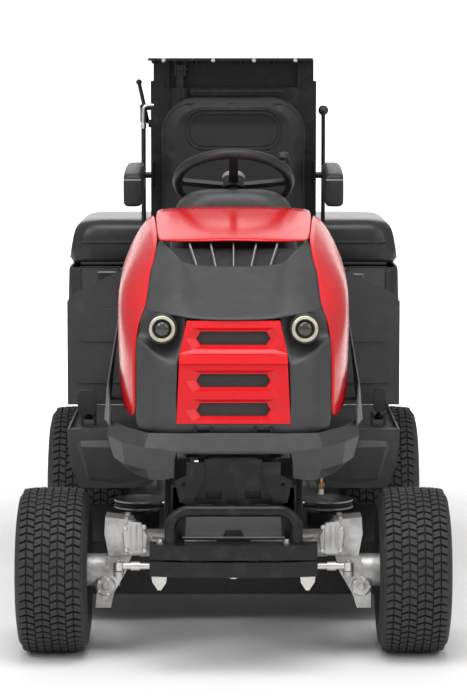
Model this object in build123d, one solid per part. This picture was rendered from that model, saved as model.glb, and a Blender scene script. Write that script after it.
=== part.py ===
from build123d import *
import math
import os

# Riding lawn mower with a driven front axle and a high-lift grass catcher.
#
# Millimetres, +Z up, the mower's front towards -Y.  The sub-assemblies are drawn with y = 0 at the
# front axle; write_parts moves them so that the origin lies on the ground at mid length.

# ---------------------------------------------------------------- driving dimensions
overall_length = 2470.0
front_overhang = 290.0            # front axle to the face of the bumper beam
wheelbase = 1200.0
overall_width = 1058.0            # outside to outside of the tyres, front and rear
running_gap = 0.05                # radial clearance of a shaft in its bore
joint_gap = 2.0                   # face to face clearance between parts that move
panel_gap = 1.5                   # shut line between body panels
pad_gap = 0.5                     # rubber washer under each foot rest leg

# tyres and rims
front_tyre_d = 406.0
front_tyre_w = 175.0
rear_tyre_d = 457.0
rear_tyre_w = 230.0
rim_seat_r = 103.0
tyre_wall = 12.0
rim_sheet = 4.0
hub_r = 34.0
stub_r = 14.0
wheel_bolt_circle_r = 50.0
wheel_bolt_r = 7.0
wheel_bolts = 5

# chassis
rail_x = 150.0                    # outer face of each rail
rail_w = 40.0
rail_bottom = 372.0
rail_h = 70.0
rail_wall = 5.0
rail_front = -190.0
rail_rear = 1470.0
cross_len = 50.0

# front axle and steering
kingpin_x = 280.0
kingpin_r = 16.0
axle_z = front_tyre_d / 2
pivot_z = 290.0
pivot_r = 18.0
axle_tube_r = 34.0
axle_boss_len = 110.0
steer_arm = 90.0
tie_rod_r = 8.0
tie_rod_z = 228.0
ball_r = 11.0

# front bumper
beam_half = 199.0
beam_flat_half = 110.0
beam_sweep = 15.0
beam_depth = 65.0
beam_wall = 4.0
beam_lower_z = 237.0
beam_lower_h = 36.0
beam_slot = 5.0
beam_upper_h = 35.0
hoop_half = 150.0
hoop_r = 14.0
hoop_bend = 45.0
hoop_top = 404.0
hoop_back = 40.0                  # beam face to the hoop's centre line

# hood and nose
hood_sheet = 4.0
hood_rear = 560.0
hood_bottom = 588.0
hood_hinge_r = 5.0
nose_face = -175.0
grille_half = 132.0
grille_top = 830.0
nose_half = 186.0
louvre_rear = 165.0
lamp_x = 178.0
lamp_z = 809.0
lamp_r = 32.0
lamp_ring = 5.0

# skirt and side panels
skirt_wall = 4.0
skirt_low = 452.0
skirt_mid_low = 518.0
skirt_half = 310.0

# foot rests and rear body
foot_z = 500.0
foot_front = 265.0
foot_inner = 190.0
foot_outer = 425.0
foot_sheet = 5.0
foot_low = 365.0
wing_front = 900.0
wing_outer = 462.0
wing_top = 815.0
wing_peak = 872.0
wing_rear = 1440.0
tunnel_half = 250.0
seat_deck_z = 690.0

# dash and steering wheel
dash_half = 174.0
dash_top = 1112.0
dash_rear = 745.0
column_tilt = 31.0
wheel_rim_R = 151.0
wheel_rim_r = 14.0
wheel_centre_d = 740.0
wheel_centre_z = 1129.0
column_r = 15.0
hub_cap_r = 34.0

# seat
seat_half = 235.0
seat_hinge_d = 960.0
seat_hinge_z = 712.0
seat_hinge_r = 7.0
cushion_front = 965.0
cushion_rear = 1370.0
cushion_low = 735.0
cushion_high = 830.0
back_front = 1335.0
back_rear = 1425.0
back_top = 1350.0
arm_x = 286.0
arm_half = 28.5
arm_pivot_d = 1375.0
arm_pivot_z = 1120.0
arm_pin_r = 9.0
arm_length = 320.0
arm_slope = 15.0

# mower deck
deck_half = 505.0
deck_front = 335.0
deck_rear = 925.0
deck_low = 75.0
deck_high = 215.0
deck_sheet = 4.0
spindle_x = 252.0
spindle_d = 630.0
spindle_r = 15.0
blade_len = 490.0
blade_w = 58.0
blade_t = 5.0
blade_z = 105.0
pulley_r = 70.0
pulley_h = 22.0
pulley_z = 268.0

# mast, carriage and catcher
mast_half = 246.0
mast_front = 1490.0
mast_depth = 62.0
mast_foot = 330.0
mast_top = 1395.0
mast_sheet = 6.0
mast_flange = 41.0
slide_gap = 2.0
carriage_low = 420.0
carriage_top = 1462.0
top_plate_t = 8.0
lift_x = -158.0
lift_d = 1462.0
lift_barrel_r = 28.0
lift_bore_r = 22.0
lift_rod_r = 14.0
lift_base_z = 700.0
lift_gland_z = 1374.0
tip_pivot_d = 1612.0
tip_pivot_z = 935.0
tip_pin_r = 9.0
box_front = 1650.0
box_rear = overall_length - front_overhang
box_half_top = 470.0
box_half_low = 510.0
box_top = 975.0
box_shoulder = 832.0
box_low = 412.0
box_wall = 5.0

# lever and pedals
lever_x = 266.0
lever_d = 1462.0
lever_r = 6.0
lever_top = 1308.0
lever_pivot_z = 800.0
knob_r = 15.0
pedal_pivot_z = 470.0
pedal_d = 420.0
pedal_rod_r = 6.0

# engine and drive
engine_d = 330.0
pump_d = 785.0
tray_z = 503.0
tray_half = 240.0
tray_rear = 1262.0
guide_x = 172.0                   # deck posts in their guides
guide_d = (365.0, 835.0)
guide_r = 8.0
duct_half = 92.0
duct_h = 150.0
crank_r = 14.0
drive_pulley_z = 330.0
drive_pulley_r = 60.0
axle_rear_z = rear_tyre_d / 2

front_wheel_x = overall_width / 2 - front_tyre_w / 2
rear_wheel_x = overall_width / 2 - rear_tyre_w / 2
front_axle_y = front_overhang - overall_length / 2
sides = {"right": -1, "left": 1}   # the rider's right hand is on -X


# ---------------------------------------------------------------- small helpers
def block(x0, x1, y0, y1, z0, z1):
    """A box between two corners."""
    return Pos((x0 + x1) / 2, (y0 + y1) / 2, (z0 + z1) / 2) * Box(x1 - x0, y1 - y0, z1 - z0)


def flat(points):
    """A plane face with straight sides."""
    return make_face(Polyline(*points, close=True))


def prism_x(points, x0, x1):
    """A (y, z) outline drawn out along X."""
    return extrude(flat([(x0, y, z) for y, z in points]), x1 - x0, dir=(1, 0, 0))


def prism_y(points, y0, y1):
    """An (x, z) outline drawn out along Y."""
    return extrude(flat([(x, y0, z) for x, z in points]), y1 - y0, dir=(0, 1, 0))


def prism_z(points, z0, z1):
    """An (x, y) outline drawn out along Z."""
    return extrude(flat([(x, y, z0) for x, y in points]), z1 - z0, dir=(0, 0, 1))


def rod(start, end, r):
    """A round bar between two points."""
    a, b = Vector(*start), Vector(*end)
    return extrude(Plane(a, z_dir=b - a) * Circle(r), (b - a).length)


def pipe(start, end, r, bore):
    """A round tube between two points."""
    return rod(start, end, r) - rod(start, end, bore)


def bent_bar(points, radii, r):
    """A round bar along straight runs joined by arcs."""
    path = FilletPolyline(*points, radius=radii)
    return sweep(Plane(path @ 0, z_dir=path % 0) * Circle(r), path=path)


def turned(profile, x, y, z):
    """An (along X, radius) outline turned about a line parallel to X."""
    return Pos(x, y, z) * revolve(flat([(a, r, 0) for a, r in profile]), Axis.X)


def hex_bolt(x, y, z, across, height, up=1):
    """A hexagon head standing on a face whose normal is +Z or -Z."""
    head = extrude(RegularPolygon(across / 2, 6, major_radius=False), up * height)
    return Pos(x, y, z) * head


def hull_between(sections):
    """A solid with flat facets through outlines of equal point counts."""
    return loft([flat(points) for points in sections], ruled=True)


def both(shape):
    """A right hand piece and its mirror image."""
    return [shape, mirror(shape, about=Plane.YZ)]


def group(*shapes):
    """Separate solids that share one node."""
    found = []
    for shape in shapes:
        found.extend(shape if isinstance(shape, list) else [shape])
    return Compound([s for shape in found for s in shape.solids()])


# ---------------------------------------------------------------- wheels
def tyre(x, y, z, diameter, width):
    """A hollow turf tyre: tread, shoulders and side walls down to the rim seats."""
    top = diameter / 2
    half = width / 2
    shoulder = top - 16
    bead = rim_seat_r + 9
    outer = [(-half + 26, rim_seat_r), (-half + 8, bead + 22), (-half, (bead + shoulder) / 2),
             (-half + 4, shoulder - 4), (-half + 22, top - 3), (0, top), (half - 22, top - 3),
             (half - 4, shoulder - 4), (half, (bead + shoulder) / 2), (half - 8, bead + 22),
             (half - 26, rim_seat_r)]
    w = tyre_wall
    inner = [(half - 26 - w, rim_seat_r), (half - 8 - w, bead + 22),
             (half - w, (bead + shoulder) / 2), (half - 4 - w, shoulder - w),
             (half - 30, top - w - 3), (0, top - w), (-half + 30, top - w - 3),
             (-half + 4 + w, shoulder - w), (-half + w, (bead + shoulder) / 2),
             (-half + 8 + w, bead + 22), (-half + 26 + w, rim_seat_r)]
    return turned(outer + inner, x, y, z)


def rim(x, y, z, width, out):
    """A pressed steel rim with its disc, hub and bolt heads; out is +1 or -1 along X."""
    half = width / 2 - 22
    r = rim_seat_r - 0.3
    well = r - 20
    t = rim_sheet
    barrel = [(-half - 4, r + 14), (-half, r), (-half + 18, r), (-half + 28, well),
              (half - 28, well), (half - 18, r), (half, r), (half + 4, r + 14),
              (half + 4 - t, r + 14), (half - t, r - t), (half - 18, r - t), (half - 28, well - t),
              (-half + 28, well - t), (-half + 18, r - t), (-half + t, r - t),
              (-half - 4 + t, r + 14)]
    shape = turned(barrel, x, y, z)
    face_x = x + out * (half - 34)
    disc = turned([(-t / 2, stub_r + running_gap), (-t / 2, well - t / 2), (t / 2, well - t / 2),
                   (t / 2, stub_r + running_gap)], face_x, y, z)
    hub_end = face_x + out * 22
    hub = pipe((face_x - out * 20, y, z), (hub_end, y, z), hub_r, stub_r + running_gap)
    shape = shape + disc + hub
    for n in range(wheel_bolts):
        a = 2 * math.pi * n / wheel_bolts
        by, bz = y + wheel_bolt_circle_r * math.sin(a), z + wheel_bolt_circle_r * math.cos(a)
        shape += rod((face_x, by, bz), (face_x + out * 14, by, bz), wheel_bolt_r)
    return shape, face_x - out * 20, hub_end


def wheels():
    """Four tyres and four rims."""
    made = {}
    for side, s in sides.items():
        for end, x, y, z, d, w in (
                ("front", front_wheel_x, 0, axle_z, front_tyre_d, front_tyre_w),
                ("rear", rear_wheel_x, wheelbase, axle_rear_z, rear_tyre_d, rear_tyre_w)):
            made[f"{end}_tyre_{side}"] = tyre(s * x, y, z, d, w)
            made[f"{end}_rim_{side}"] = rim(s * x, y, z, w, s)[0]
    return made


# ---------------------------------------------------------------- chassis
def chassis():
    """Two box rails, cross members, the axle hangers and the rear stays."""
    top = rail_bottom + rail_h
    shape = None
    for s in sides.values():
        x0, x1 = sorted((s * rail_x, s * (rail_x - rail_w)))
        outer = block(x0, x1, rail_front, rail_rear, rail_bottom, top)
        inner = block(x0 + rail_wall, x1 - rail_wall, rail_front, rail_rear,
                      rail_bottom + rail_wall, top - rail_wall)
        shape = outer - inner if shape is None else shape + (outer - inner)
    half = rail_x - rail_w + 1
    for d in (rail_front, 90, pump_d - cross_len / 2, rail_rear - cross_len):
        shape += block(-half, half, d, d + cross_len, top - 45, top - 5)
    hanger_t = 10
    for d in (-axle_boss_len / 2 - joint_gap - hanger_t, axle_boss_len / 2 + joint_gap):
        plate = prism_y([(-half, rail_bottom + 8), (half, rail_bottom + 8), (half, top - 8), (-half, top - 8)],
                        d, d + hanger_t)
        ear = prism_y([(-70, rail_bottom + 9), (-34, pivot_z - 30), (34, pivot_z - 30),
                       (70, rail_bottom + 9)], d, d + hanger_t)
        shape += plate + ear
    shape += block(-half, half, rail_front, axle_boss_len / 2, rail_bottom + 1, rail_bottom + 9)
    for s in sides.values():
        for d in guide_d:
            shape += block(*sorted((s * (rail_x - 1), s * (foot_inner + 20))), d - 15, d + 15,
                           rail_bottom + 12, rail_bottom + 52)
            shape -= rod((s * guide_x, d, rail_bottom), (s * guide_x, d, top), guide_r + running_gap)
        shape += block(*sorted((s * (rail_x - rail_w), s * mast_half)), rail_rear, mast_front,
                       rail_bottom, top)
        for d in (1010, tray_rear - 40):
            shape += block(*sorted((s * (rail_x - 30), s * (rail_x - 10))), d, d + 30, top, tray_z - 6)
    shape += block(-tray_half, tray_half, 1000, tray_rear, tray_z - 6, tray_z)
    shape += rod((0, -axle_boss_len / 2 - 16, pivot_z), (0, axle_boss_len / 2 + 16, pivot_z), pivot_r)
    shape += bumper_stays() + hood_hinge_brackets()
    return {"chassis_frame": shape}


def bumper_stays():
    """Arms that carry the bumper beam and the posts that tie them to the rails."""
    back = -front_overhang + beam_depth
    top = beam_lower_z + beam_lower_h + beam_slot + beam_upper_h - 4
    stays = None
    for s in sides.values():
        x0, x1 = sorted((s * (rail_x - 8), s * (rail_x - 32)))
        stay = block(x0, x1, back, rail_front + 30, top - 20, top)
        stay += block(x0, x1, rail_front + 6, rail_front + 30, top, rail_bottom)
        stays = stay if stays is None else stays + stay
    return stays


def hood_hinge_brackets():
    """Pins under the nose that the hood's straps turn on, with their ears and posts."""
    y, z = nose_face + 10, hood_bottom - 14
    seat = rail_bottom + rail_h - 5
    fixed = None
    for s in sides.values():
        x0, x1 = sorted((s * 60, s * 84))
        bracket = rod((x0 - 10, y, z), (x1 + 10, y, z), hood_hinge_r)
        for x in (x0 - 10, x1 + 4):
            bracket += block(x, x + 6, y - 8, y + 24, z - 34, z + 8)
        bracket += block(x0 - 10, x1 + 10, y + 4, y + 24, z - 40, z - 34)
        bracket += block(s * 72 - 12, s * 72 + 12, y + 4, y + 24, seat, z - 34)
        fixed = bracket if fixed is None else fixed + bracket
    return fixed


def front_guard():
    """Beam of two stacked channels, the hoop over it, its bolts and the towing hooks."""
    front = -front_overhang
    back = front + beam_depth
    plan = [(-beam_half, back), (-beam_half, front + beam_sweep), (-beam_flat_half, front),
            (beam_flat_half, front), (beam_half, front + beam_sweep), (beam_half, back)]
    w = beam_wall
    hollow = [(-beam_half + w, back + 1), (-beam_half + w, front + beam_sweep + w),
              (-beam_flat_half, front + w), (beam_flat_half, front + w),
              (beam_half - w, front + beam_sweep + w), (beam_half - w, back + 1)]
    upper_z = beam_lower_z + beam_lower_h + beam_slot
    beam_top = upper_z + beam_upper_h
    lower = prism_z(plan, beam_lower_z, beam_lower_z + beam_lower_h) - prism_z(
        hollow, beam_lower_z + w, beam_lower_z + beam_lower_h - w)
    upper = prism_z(plan, upper_z, beam_top) - prism_z(hollow, upper_z + w, beam_top - w)
    spacers = [block(*sorted((s * 120, s * 160)), back - 25, back,
                     beam_lower_z + beam_lower_h, upper_z) for s in sides.values()]
    beam = upper + lower + spacers[0] + spacers[1]
    hoop_d = front + hoop_back
    crown = hoop_top - hoop_r
    hoop = bent_bar([(-hoop_half, hoop_d, beam_top), (-hoop_half, hoop_d, crown),
                     (hoop_half, hoop_d, crown), (hoop_half, hoop_d, beam_top)],
                    hoop_bend, hoop_r)
    bolts = []
    for x in (-hoop_half - 24, hoop_half - 24):
        bolts += [Pos(x, hoop_d, beam_top) * Cylinder(9, 3, align=(Align.CENTER, Align.CENTER, Align.MIN)),
                  hex_bolt(x, hoop_d, beam_top + 3, 14, 7)]
    bolts.append(hex_bolt(0, hoop_d, beam_lower_z, 22, 8, up=-1))
    hook_t = 8
    hook = prism_y([(-195, beam_lower_z), (-158, beam_lower_z), (-160, 218), (-172, 200),
                    (-180, 200), (-193, 220)], hoop_d - hook_t / 2, hoop_d + hook_t / 2)
    return {"bumper_beam": beam, "bumper_hoop": hoop, "bumper_hardware": group(bolts, both(hook))}


def front_bracket():
    """Folded sheet between the beam and the nose, with its windows, wings and tray."""
    t = 4
    d = rail_front - 12
    wide = 124
    lower = prism_y([(-wide, 318), (wide, 318), (wide - 8, 372), (wide - 18, 402),
                     (-wide + 18, 402), (-wide + 8, 372)], d, d + t)
    for s in sides.values():
        lower -= prism_y([(s * 52, 402), (s * 84, 402), (s * 80, 384), (s * 56, 384)], d - 1, d + t + 1)
    lip = block(-wide, wide, d - 22, d + t, 316, 320)
    tab = prism_y([(-26, 320), (26, 320), (18, 336), (-18, 336)], d - 6, d)
    upper = prism_y([(-98, 402), (98, 402), (70, 470), (70, 506), (-70, 506), (-70, 470)], d, d + t)
    for s in sides.values():
        upper -= block(*sorted((s * 28, s * 66)), d - 1, d + t + 1, 412, 430)
    wing = prism_y([(-128, 404), (-97, 404), (-69, 468), (-69, 502), (-112, 502), (-112, 470),
                    (-140, 456)], d - 14, d - 10)
    wing -= rod((-118, d - 20, 448), (-118, d, 448), 5)
    fold = prism_x([(d - 14, 402), (d + t, 402), (d + t, 410), (d - 14, 410)], -120, -92)
    right, left = both(wing + fold)
    shape = lower + lip + tab + upper + right + left
    for s in sides.values():
        shape += block(*sorted((s * 70, s * 84)), d + t - 1, rail_front, 404, 430)
    return {"nose_bracket": shape}


# ---------------------------------------------------------------- front axle
def front_axle():
    """Cast driven axle that rocks on a pin, with upper gear cases over the kingpins."""
    casting = rod((-kingpin_x + 49, 0, pivot_z - 20), (kingpin_x - 49, 0, pivot_z - 20), axle_tube_r)
    casting += rod((0, -axle_boss_len / 2, pivot_z), (0, axle_boss_len / 2, pivot_z), 44)
    casting += Pos(0, 0, pivot_z - 18) * Sphere(54)
    casting -= rod((0, -200, pivot_z), (0, 200, pivot_z), pivot_r + running_gap)
    low = 245
    for s in sides.values():
        head = hull_between([
            [(s * 228, -38, low), (s * 306, -44, low), (s * 306, 44, low), (s * 228, 38, low)],
            [(s * 232, -44, 300), (s * 316, -48, 300), (s * 316, 48, 300), (s * 232, 44, 300)],
            [(s * 248, -36, 332), (s * 314, -40, 340), (s * 314, 40, 340), (s * 248, 36, 332)]])
        head -= rod((s * kingpin_x, 0, low - 1), (s * kingpin_x, 0, low + 62), kingpin_r + running_gap)
        casting += head
    for s in sides.values():
        for d in (-30, 30):
            casting += hex_bolt(s * 262, d, 332, 12, 8)
    made = {"front_axle_casting": casting}
    for side, s in sides.items():
        kx = s * kingpin_x
        top = low - joint_gap
        case = hull_between([
            [(kx - 30, -32, top), (kx + 30, -32, top), (kx + 30, 32, top), (kx - 30, 32, top)],
            [(kx - 30 + s * 10, -40, 205), (kx + 30 + s * 14, -40, 205),
             (kx + 30 + s * 14, 40, 205), (kx - 30 + s * 10, 40, 205)],
            [(kx - 22 + s * 34, -34, 150), (kx + 22 + s * 36, -34, 150),
             (kx + 22 + s * 36, 34, 150), (kx - 22 + s * 34, 34, 150)],
            [(kx - 18 + s * 42, -26, 112), (kx + 18 + s * 40, -26, 112),
             (kx + 18 + s * 40, 26, 112), (kx - 18 + s * 42, 26, 112)]])
        hub_inner = rim(s * front_wheel_x, 0, axle_z, front_tyre_w, s)[1]
        case += rod((kx, 0, axle_z), (hub_inner - s * joint_gap, 0, axle_z), 40)
        case += rod((kx, 0, top - 20), (kx, 0, low + 56), kingpin_r)
        hub_end = rim(s * front_wheel_x, 0, axle_z, front_tyre_w, s)[2]
        case += rod((kx, 0, axle_z), (hub_end + s * 8, 0, axle_z), stub_r)
        case += rod((hub_end + s * 1, 0, axle_z), (hub_end + s * 9, 0, axle_z), 21)
        case += block(kx - 12, kx + 12, -steer_arm, -20, tie_rod_z - 24, tie_rod_z - ball_r - 1)
        case += rod((kx, -steer_arm, tie_rod_z - 25), (kx, -steer_arm, tie_rod_z - ball_r - 1), 13)
        case += rod((kx, -steer_arm, tie_rod_z - 14), (kx, -steer_arm, tie_rod_z + 15), 5)
        made[f"final_case_{side}"] = case
    eye_half = ball_r - 1
    link = rod((-kingpin_x + 8, -steer_arm, tie_rod_z), (kingpin_x - 8, -steer_arm, tie_rod_z), tie_rod_r)
    for s in sides.values():
        link += rod((s * kingpin_x, -steer_arm, tie_rod_z - eye_half),
                    (s * kingpin_x, -steer_arm, tie_rod_z + eye_half), 13)
        link += rod((s * (kingpin_x - 52), -steer_arm, tie_rod_z),
                    (s * (kingpin_x - 30), -steer_arm, tie_rod_z), 11)
    for s in sides.values():
        link -= rod((s * kingpin_x, -steer_arm, 100), (s * kingpin_x, -steer_arm, 300), 5 + running_gap)
    made["tie_rod"] = link
    return made


# ---------------------------------------------------------------- engine, drive and stores
def vee_pulley(y, r):
    """A solid pulley with one belt groove, turned about a vertical shaft."""
    half = 14
    blank = Pos(0, y, drive_pulley_z) * Cylinder(r, 2 * half)
    groove = revolve(flat([(r - 12, 0, -4), (r + 1, 0, -9), (r + 1, 0, 9), (r - 12, 0, 4)]), Axis.Z)
    return blank - Pos(0, y, drive_pulley_z) * groove


def power_unit():
    """Twin cylinder engine with cowl and silencer, the belt drive and the hydraulic pump."""
    base = rail_bottom + rail_h
    d = engine_d
    up = (Align.CENTER, Align.CENTER, Align.MIN)
    crankcase = prism_z([(-100, d - 110), (100, d - 110), (120, d - 40), (120, d + 90), (80, d + 130),
                         (-80, d + 130), (-120, d + 90), (-120, d - 40)], base, base + 170)
    crankcase += block(-rail_x + 6, rail_x - 6, d - 70, d + 90, base, base + 12)
    for s in sides.values():
        crankcase += block(*sorted((s * 110, s * 194)), d - 26, d + 50, base + 82, base + 138)
        for n in range(6):
            x = s * (124 + n * 13)
            crankcase += block(*sorted((x, x + s * 6)), d - 48, d + 72, base + 60, base + 160)
    crankcase += rod((0, d, drive_pulley_z - 20), (0, d, base + 1), crank_r) + vee_pulley(d, drive_pulley_r)
    cowl = Pos(0, d, base + 170) * Cylinder(150, 70, align=up)
    cowl = chamfer(cowl.edges().group_by(Axis.Z)[-1], 24)
    cowl -= Pos(0, d, base + 226) * Cylinder(92, 20, align=up)
    screen = Pos(0, d, base + 226) * Cylinder(91.7, 10, align=up)
    silencer = Pos(0, 95, base + 78) * Rot(0, 90, 0) * Cylinder(52, 250)
    silencer = chamfer(silencer.edges(), 8)
    silencer += rod((0, 130, base + 78), (0, d - 110, base + 78), 20)
    silencer += rod((90, 95, base + 8), (90, 95, base + 60), 16)
    inside = drive_pulley_r - 11.8
    run = pump_d - d
    belt = SlotCenterToCenter(run, 2 * inside + 20) - SlotCenterToCenter(run, 2 * inside)
    belt = extrude(belt, 7)
    belt = Pos(0, d + run / 2, drive_pulley_z - 3.5) * Rot(0, 0, 90) * belt
    pump = block(-70, 70, pump_d - 60, pump_d + 60, drive_pulley_z + 20, base - 45)
    pump = chamfer(pump.edges().filter_by(Axis.Z), 18)
    pump += rod((0, pump_d, drive_pulley_z - 20), (0, pump_d, drive_pulley_z + 21), crank_r)
    pump += vee_pulley(pump_d, drive_pulley_r)
    for s in sides.values():
        pump += rod((s * 40, pump_d + 55, 372), (s * 40, pump_d + 78, 372), 11)
    tank = block(118, 238, 1010, tray_rear - 5, tray_z, 668)
    tank = fillet(tank.edges(), 22)
    battery = block(-60, 90, 1040, 1210, tray_z, 650)
    for x in (-45, 55):
        battery += block(x, x + 20, 1060, 1080, 650, 662)
    return {"engine_block": crankcase, "engine_cowl": cowl + screen, "silencer": silencer,
            "traction_belt": belt, "hydraulic_pump": pump, "fuel_tank": tank, "battery": battery,
            "rear_drives": group(rear_drives())}


def rear_drives():
    """Wheel motor housings hung under the rails, each with its fixed stub for the hub."""
    z = axle_rear_z
    made = []
    for s in sides.values():
        hub_inner, hub_end = rim(s * rear_wheel_x, wheelbase, z, rear_tyre_w, s)[1:]
        case = rod((s * 112, wheelbase, z), (hub_inner - s * 24, wheelbase, z), 42)
        case += rod((s * 220, wheelbase, z), (s * 300, wheelbase, z), 62)
        case += block(*sorted((s * 114, s * 146)), wheelbase - 50, wheelbase + 50, z, rail_bottom)
        case += rod((s * 200, wheelbase, z), (hub_end + s * 8, wheelbase, z), stub_r)
        case += rod((hub_end + s * 1, wheelbase, z), (hub_end + s * 9, wheelbase, z), 21)
        made.append(case)
    return made


# ---------------------------------------------------------------- hood, nose and lamps
def hood_section(d, half_profile, inset):
    """Closed outline at one station; the inset moves it inwards for the inner skin."""
    last = len(half_profile) - 1
    side = [(max(x - inset, 0.0), z - (inset if n > 1 else 0)) for n, (x, z) in enumerate(half_profile)]
    left = [(-x, d, z) for x, z in side]
    right = [(x, d, z) for x, z in reversed(side[:last])]
    return left + right


def hood_skins():
    """Outer and inner lofts of the whole cover from the nose to its rear edge."""
    b = hood_bottom
    stations = [(nose_face, [(205, b), (208, 690), (202, 790), (150, 824), (0, 832)]),
                (-60, [(258, b), (266, 700), (262, 805), (205, 862), (0, 880)]),
                (60, [(280, b), (284, 740), (285, 852), (208, 946), (0, 972)]),
                (200, [(290, b), (294, 790), (297, 890), (197, 1002), (0, 1018)]),
                (hood_rear, [(292, b), (297, 800), (299, 912), (207, 1063), (0, 1073)])]
    outer = hull_between([hood_section(d, prof, 0) for d, prof in stations])
    cut_d = [nose_face + hood_sheet] + [d for d, prof in stations[1:-1]] + [hood_rear + 1]
    inner = hull_between([hood_section(d, [(prof[0][0], b - 1)] + prof[1:], hood_sheet)
                          for d, (old_d, prof) in zip(cut_d, stations)])
    return outer, inner


def hood_shells():
    """Red cover, dark nose with louvres, grille with mesh, and the two lamps."""
    outer, inner = hood_skins()
    shell = outer - inner
    shell -= prism_x([(-60, hood_bottom - 10), (hood_rear + 10, 770), (hood_rear + 10, hood_bottom - 10)],
                     -400, 400)
    wide = nose_half + 52
    nose_zone = prism_z([(-nose_half - 30, -80), (-nose_half, 210), (nose_half, 210), (nose_half + 30, -80),
                         (wide, -60), (nose_half + 30, nose_face - 10), (-nose_half - 30, nose_face - 10),
                         (-wide, -60)], 500, 1100)
    grille_zone = prism_y([(-grille_half - 8, 500), (grille_half + 8, 500), (grille_half, grille_top),
                           (-grille_half, grille_top)], nose_face - 20, -60)
    hood = shell - nose_zone
    nose = (shell & nose_zone) - grille_zone
    grille = shell & nose_zone & grille_zone
    for n in range(7):
        x = (n - 3) * 42
        nose -= block(x - 15, x + 15, 90, louvre_rear, 940, 1060)
    for z in (792, 715, 650):
        grille -= prism_y([(-96, z), (-88, z + 12), (88, z + 12), (96, z), (88, z - 14), (-88, z - 14)],
                          nose_face - 20, -60)
    back = nose_face + hood_sheet
    mesh = block(-108, 108, back, back + 2, 630, 810)
    rings = []
    lenses = []
    for s in sides.values():
        x = s * lamp_x
        face = -150
        nose -= rod((x, -300, lamp_z), (x, -20, lamp_z), lamp_r + 1.5)
        nose += pipe((x, face, lamp_z), (x, -70, lamp_z), lamp_r + 2, lamp_r - 1.5)
        nose += rod((x, -74, lamp_z), (x, -70, lamp_z), lamp_r + 2)
        rings.append(pipe((x, face - 5, lamp_z), (x, face, lamp_z), lamp_r + 1, lamp_r - lamp_ring))
        lenses.append(rod((x, face, lamp_z), (x, face + 3, lamp_z), lamp_r - 2))
    grille = grille + hood_straps()
    return {"hood_cover": hood, "nose_panel": nose, "grille": grille, "grille_mesh": mesh,
            "headlamps": group(rings, lenses)}


def hood_straps():
    """Two straps behind the grille with the bores of the hood's hinge."""
    y, z = nose_face + 10, hood_bottom - 14
    face = nose_face + hood_sheet
    straps = None
    for s in sides.values():
        x0, x1 = sorted((s * 60, s * 84))
        strap = block(x0, x1, face - 0.5, face + 5, z, hood_bottom + 34)
        strap += rod((x0, y, z), (x1, y, z), hood_hinge_r + 4)
        strap -= rod((x0 - 1, y, z), (x1 + 1, y, z), hood_hinge_r + running_gap)
        straps = strap if straps is None else straps + strap
    return straps


# ---------------------------------------------------------------- skirt and side panels
def skirt_outline(shift, inset, z, extra):
    """Plan of the wrap-round skirt from one side, across the front and back."""
    half = skirt_half - inset
    front = nose_face + shift + inset
    side = [(half, 120 + extra), (half, 20 + shift), (262 - inset, -70 + shift + inset),
            (205 - inset / 2, front + 12), (120, front)]
    return [(-x, y, z) for x, y in side] + [(x, y, z) for x, y in reversed(side)]


def skirt():
    """Grey bumper that wraps round below the nose, and the panels along the hood's lower edge."""
    top = hood_bottom - 24 - panel_gap
    levels = [(-4, top), (-26, 520), (-18, skirt_low)]
    outer = hull_between([skirt_outline(shift, 0, z, 0) for shift, z in levels])
    hollow = [(-4, top + 1), (-26, 520), (-18, skirt_low - 1)]
    inner = hull_between([skirt_outline(shift, skirt_wall, z, 1) for shift, z in hollow])
    shell = outer - inner
    shell -= prism_y([(-143, skirt_low - 5), (-143, skirt_mid_low - 8), (-134, skirt_mid_low),
                      (134, skirt_mid_low), (143, skirt_mid_low - 8), (143, skirt_low - 5)], -300, 0)
    for s in sides.values():
        x0, x1 = sorted((s * 96, s * 104))
        shell += prism_x([(-198, 523), (-181, 556), (-160, 556), (-160, 523)], x0, x1)
        shell += block(x0, x1, -172, -160, rail_bottom + rail_h - 5, 530)
    panels = []
    for s in sides.values():
        low = top + 2
        panel = hull_between([
            [(s * 300, -20, low), (s * 304, -20, low), (s * 304, -20, low + 38), (s * 300, -20, low + 38)],
            [(s * 318, 100, low), (s * 322, 100, low), (s * 314, 100, 660), (s * 310, 100, 660)],
            [(s * 324, 540, low), (s * 328, 540, low), (s * 306, 540, 775), (s * 302, 540, 775)]])
        tab = block(*sorted((s * (rail_x - 22), s * 325)), 464, 494, low + 2, low + 8)
        leg = block(*sorted((s * (rail_x - 22), s * (rail_x - 2))), 464, 494, rail_bottom + rail_h, low + 8)
        panels.append(panel + tab + leg)
    return {"front_skirt": shell, "side_panels": group(panels)}


# ---------------------------------------------------------------- foot rests, rear body and dash
def foot_rests():
    """Folded floor plates either side, with a front apron, a raised edge and a leg."""
    plates = []
    t = foot_sheet
    floor_end = wing_front - joint_gap
    for s in sides.values():
        floor = block(*sorted((s * foot_inner, s * foot_outer)), foot_front, floor_end, foot_z - t, foot_z)
        edge = block(*sorted((s * (foot_outer - t), s * foot_outer)), foot_front, floor_end, foot_z, foot_z + 16)
        apron = prism_y([(s * foot_inner, foot_z), (s * foot_inner, foot_low + 40), (s * 250, foot_low),
                         (s * 392, foot_low), (s * 418, foot_low + 60), (s * foot_outer, foot_z)],
                        foot_front, foot_front + t)
        lip = prism_x([(foot_front, foot_z - t), (foot_front, foot_z + 16), (foot_front + 30, foot_z),
                       (foot_front + 30, foot_z - t)], *sorted((s * 232, s * foot_outer)))
        plate = floor + edge + apron + lip
        for d in guide_d:
            plate += block(*sorted((s * foot_inner, s * (foot_inner + 20))), d - 15, d + 15,
                           rail_bottom + 52 + pad_gap, foot_z - t)
        plates.append(plate + pedal_bracket(s))
    return {"foot_rests": group(plates)}


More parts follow.
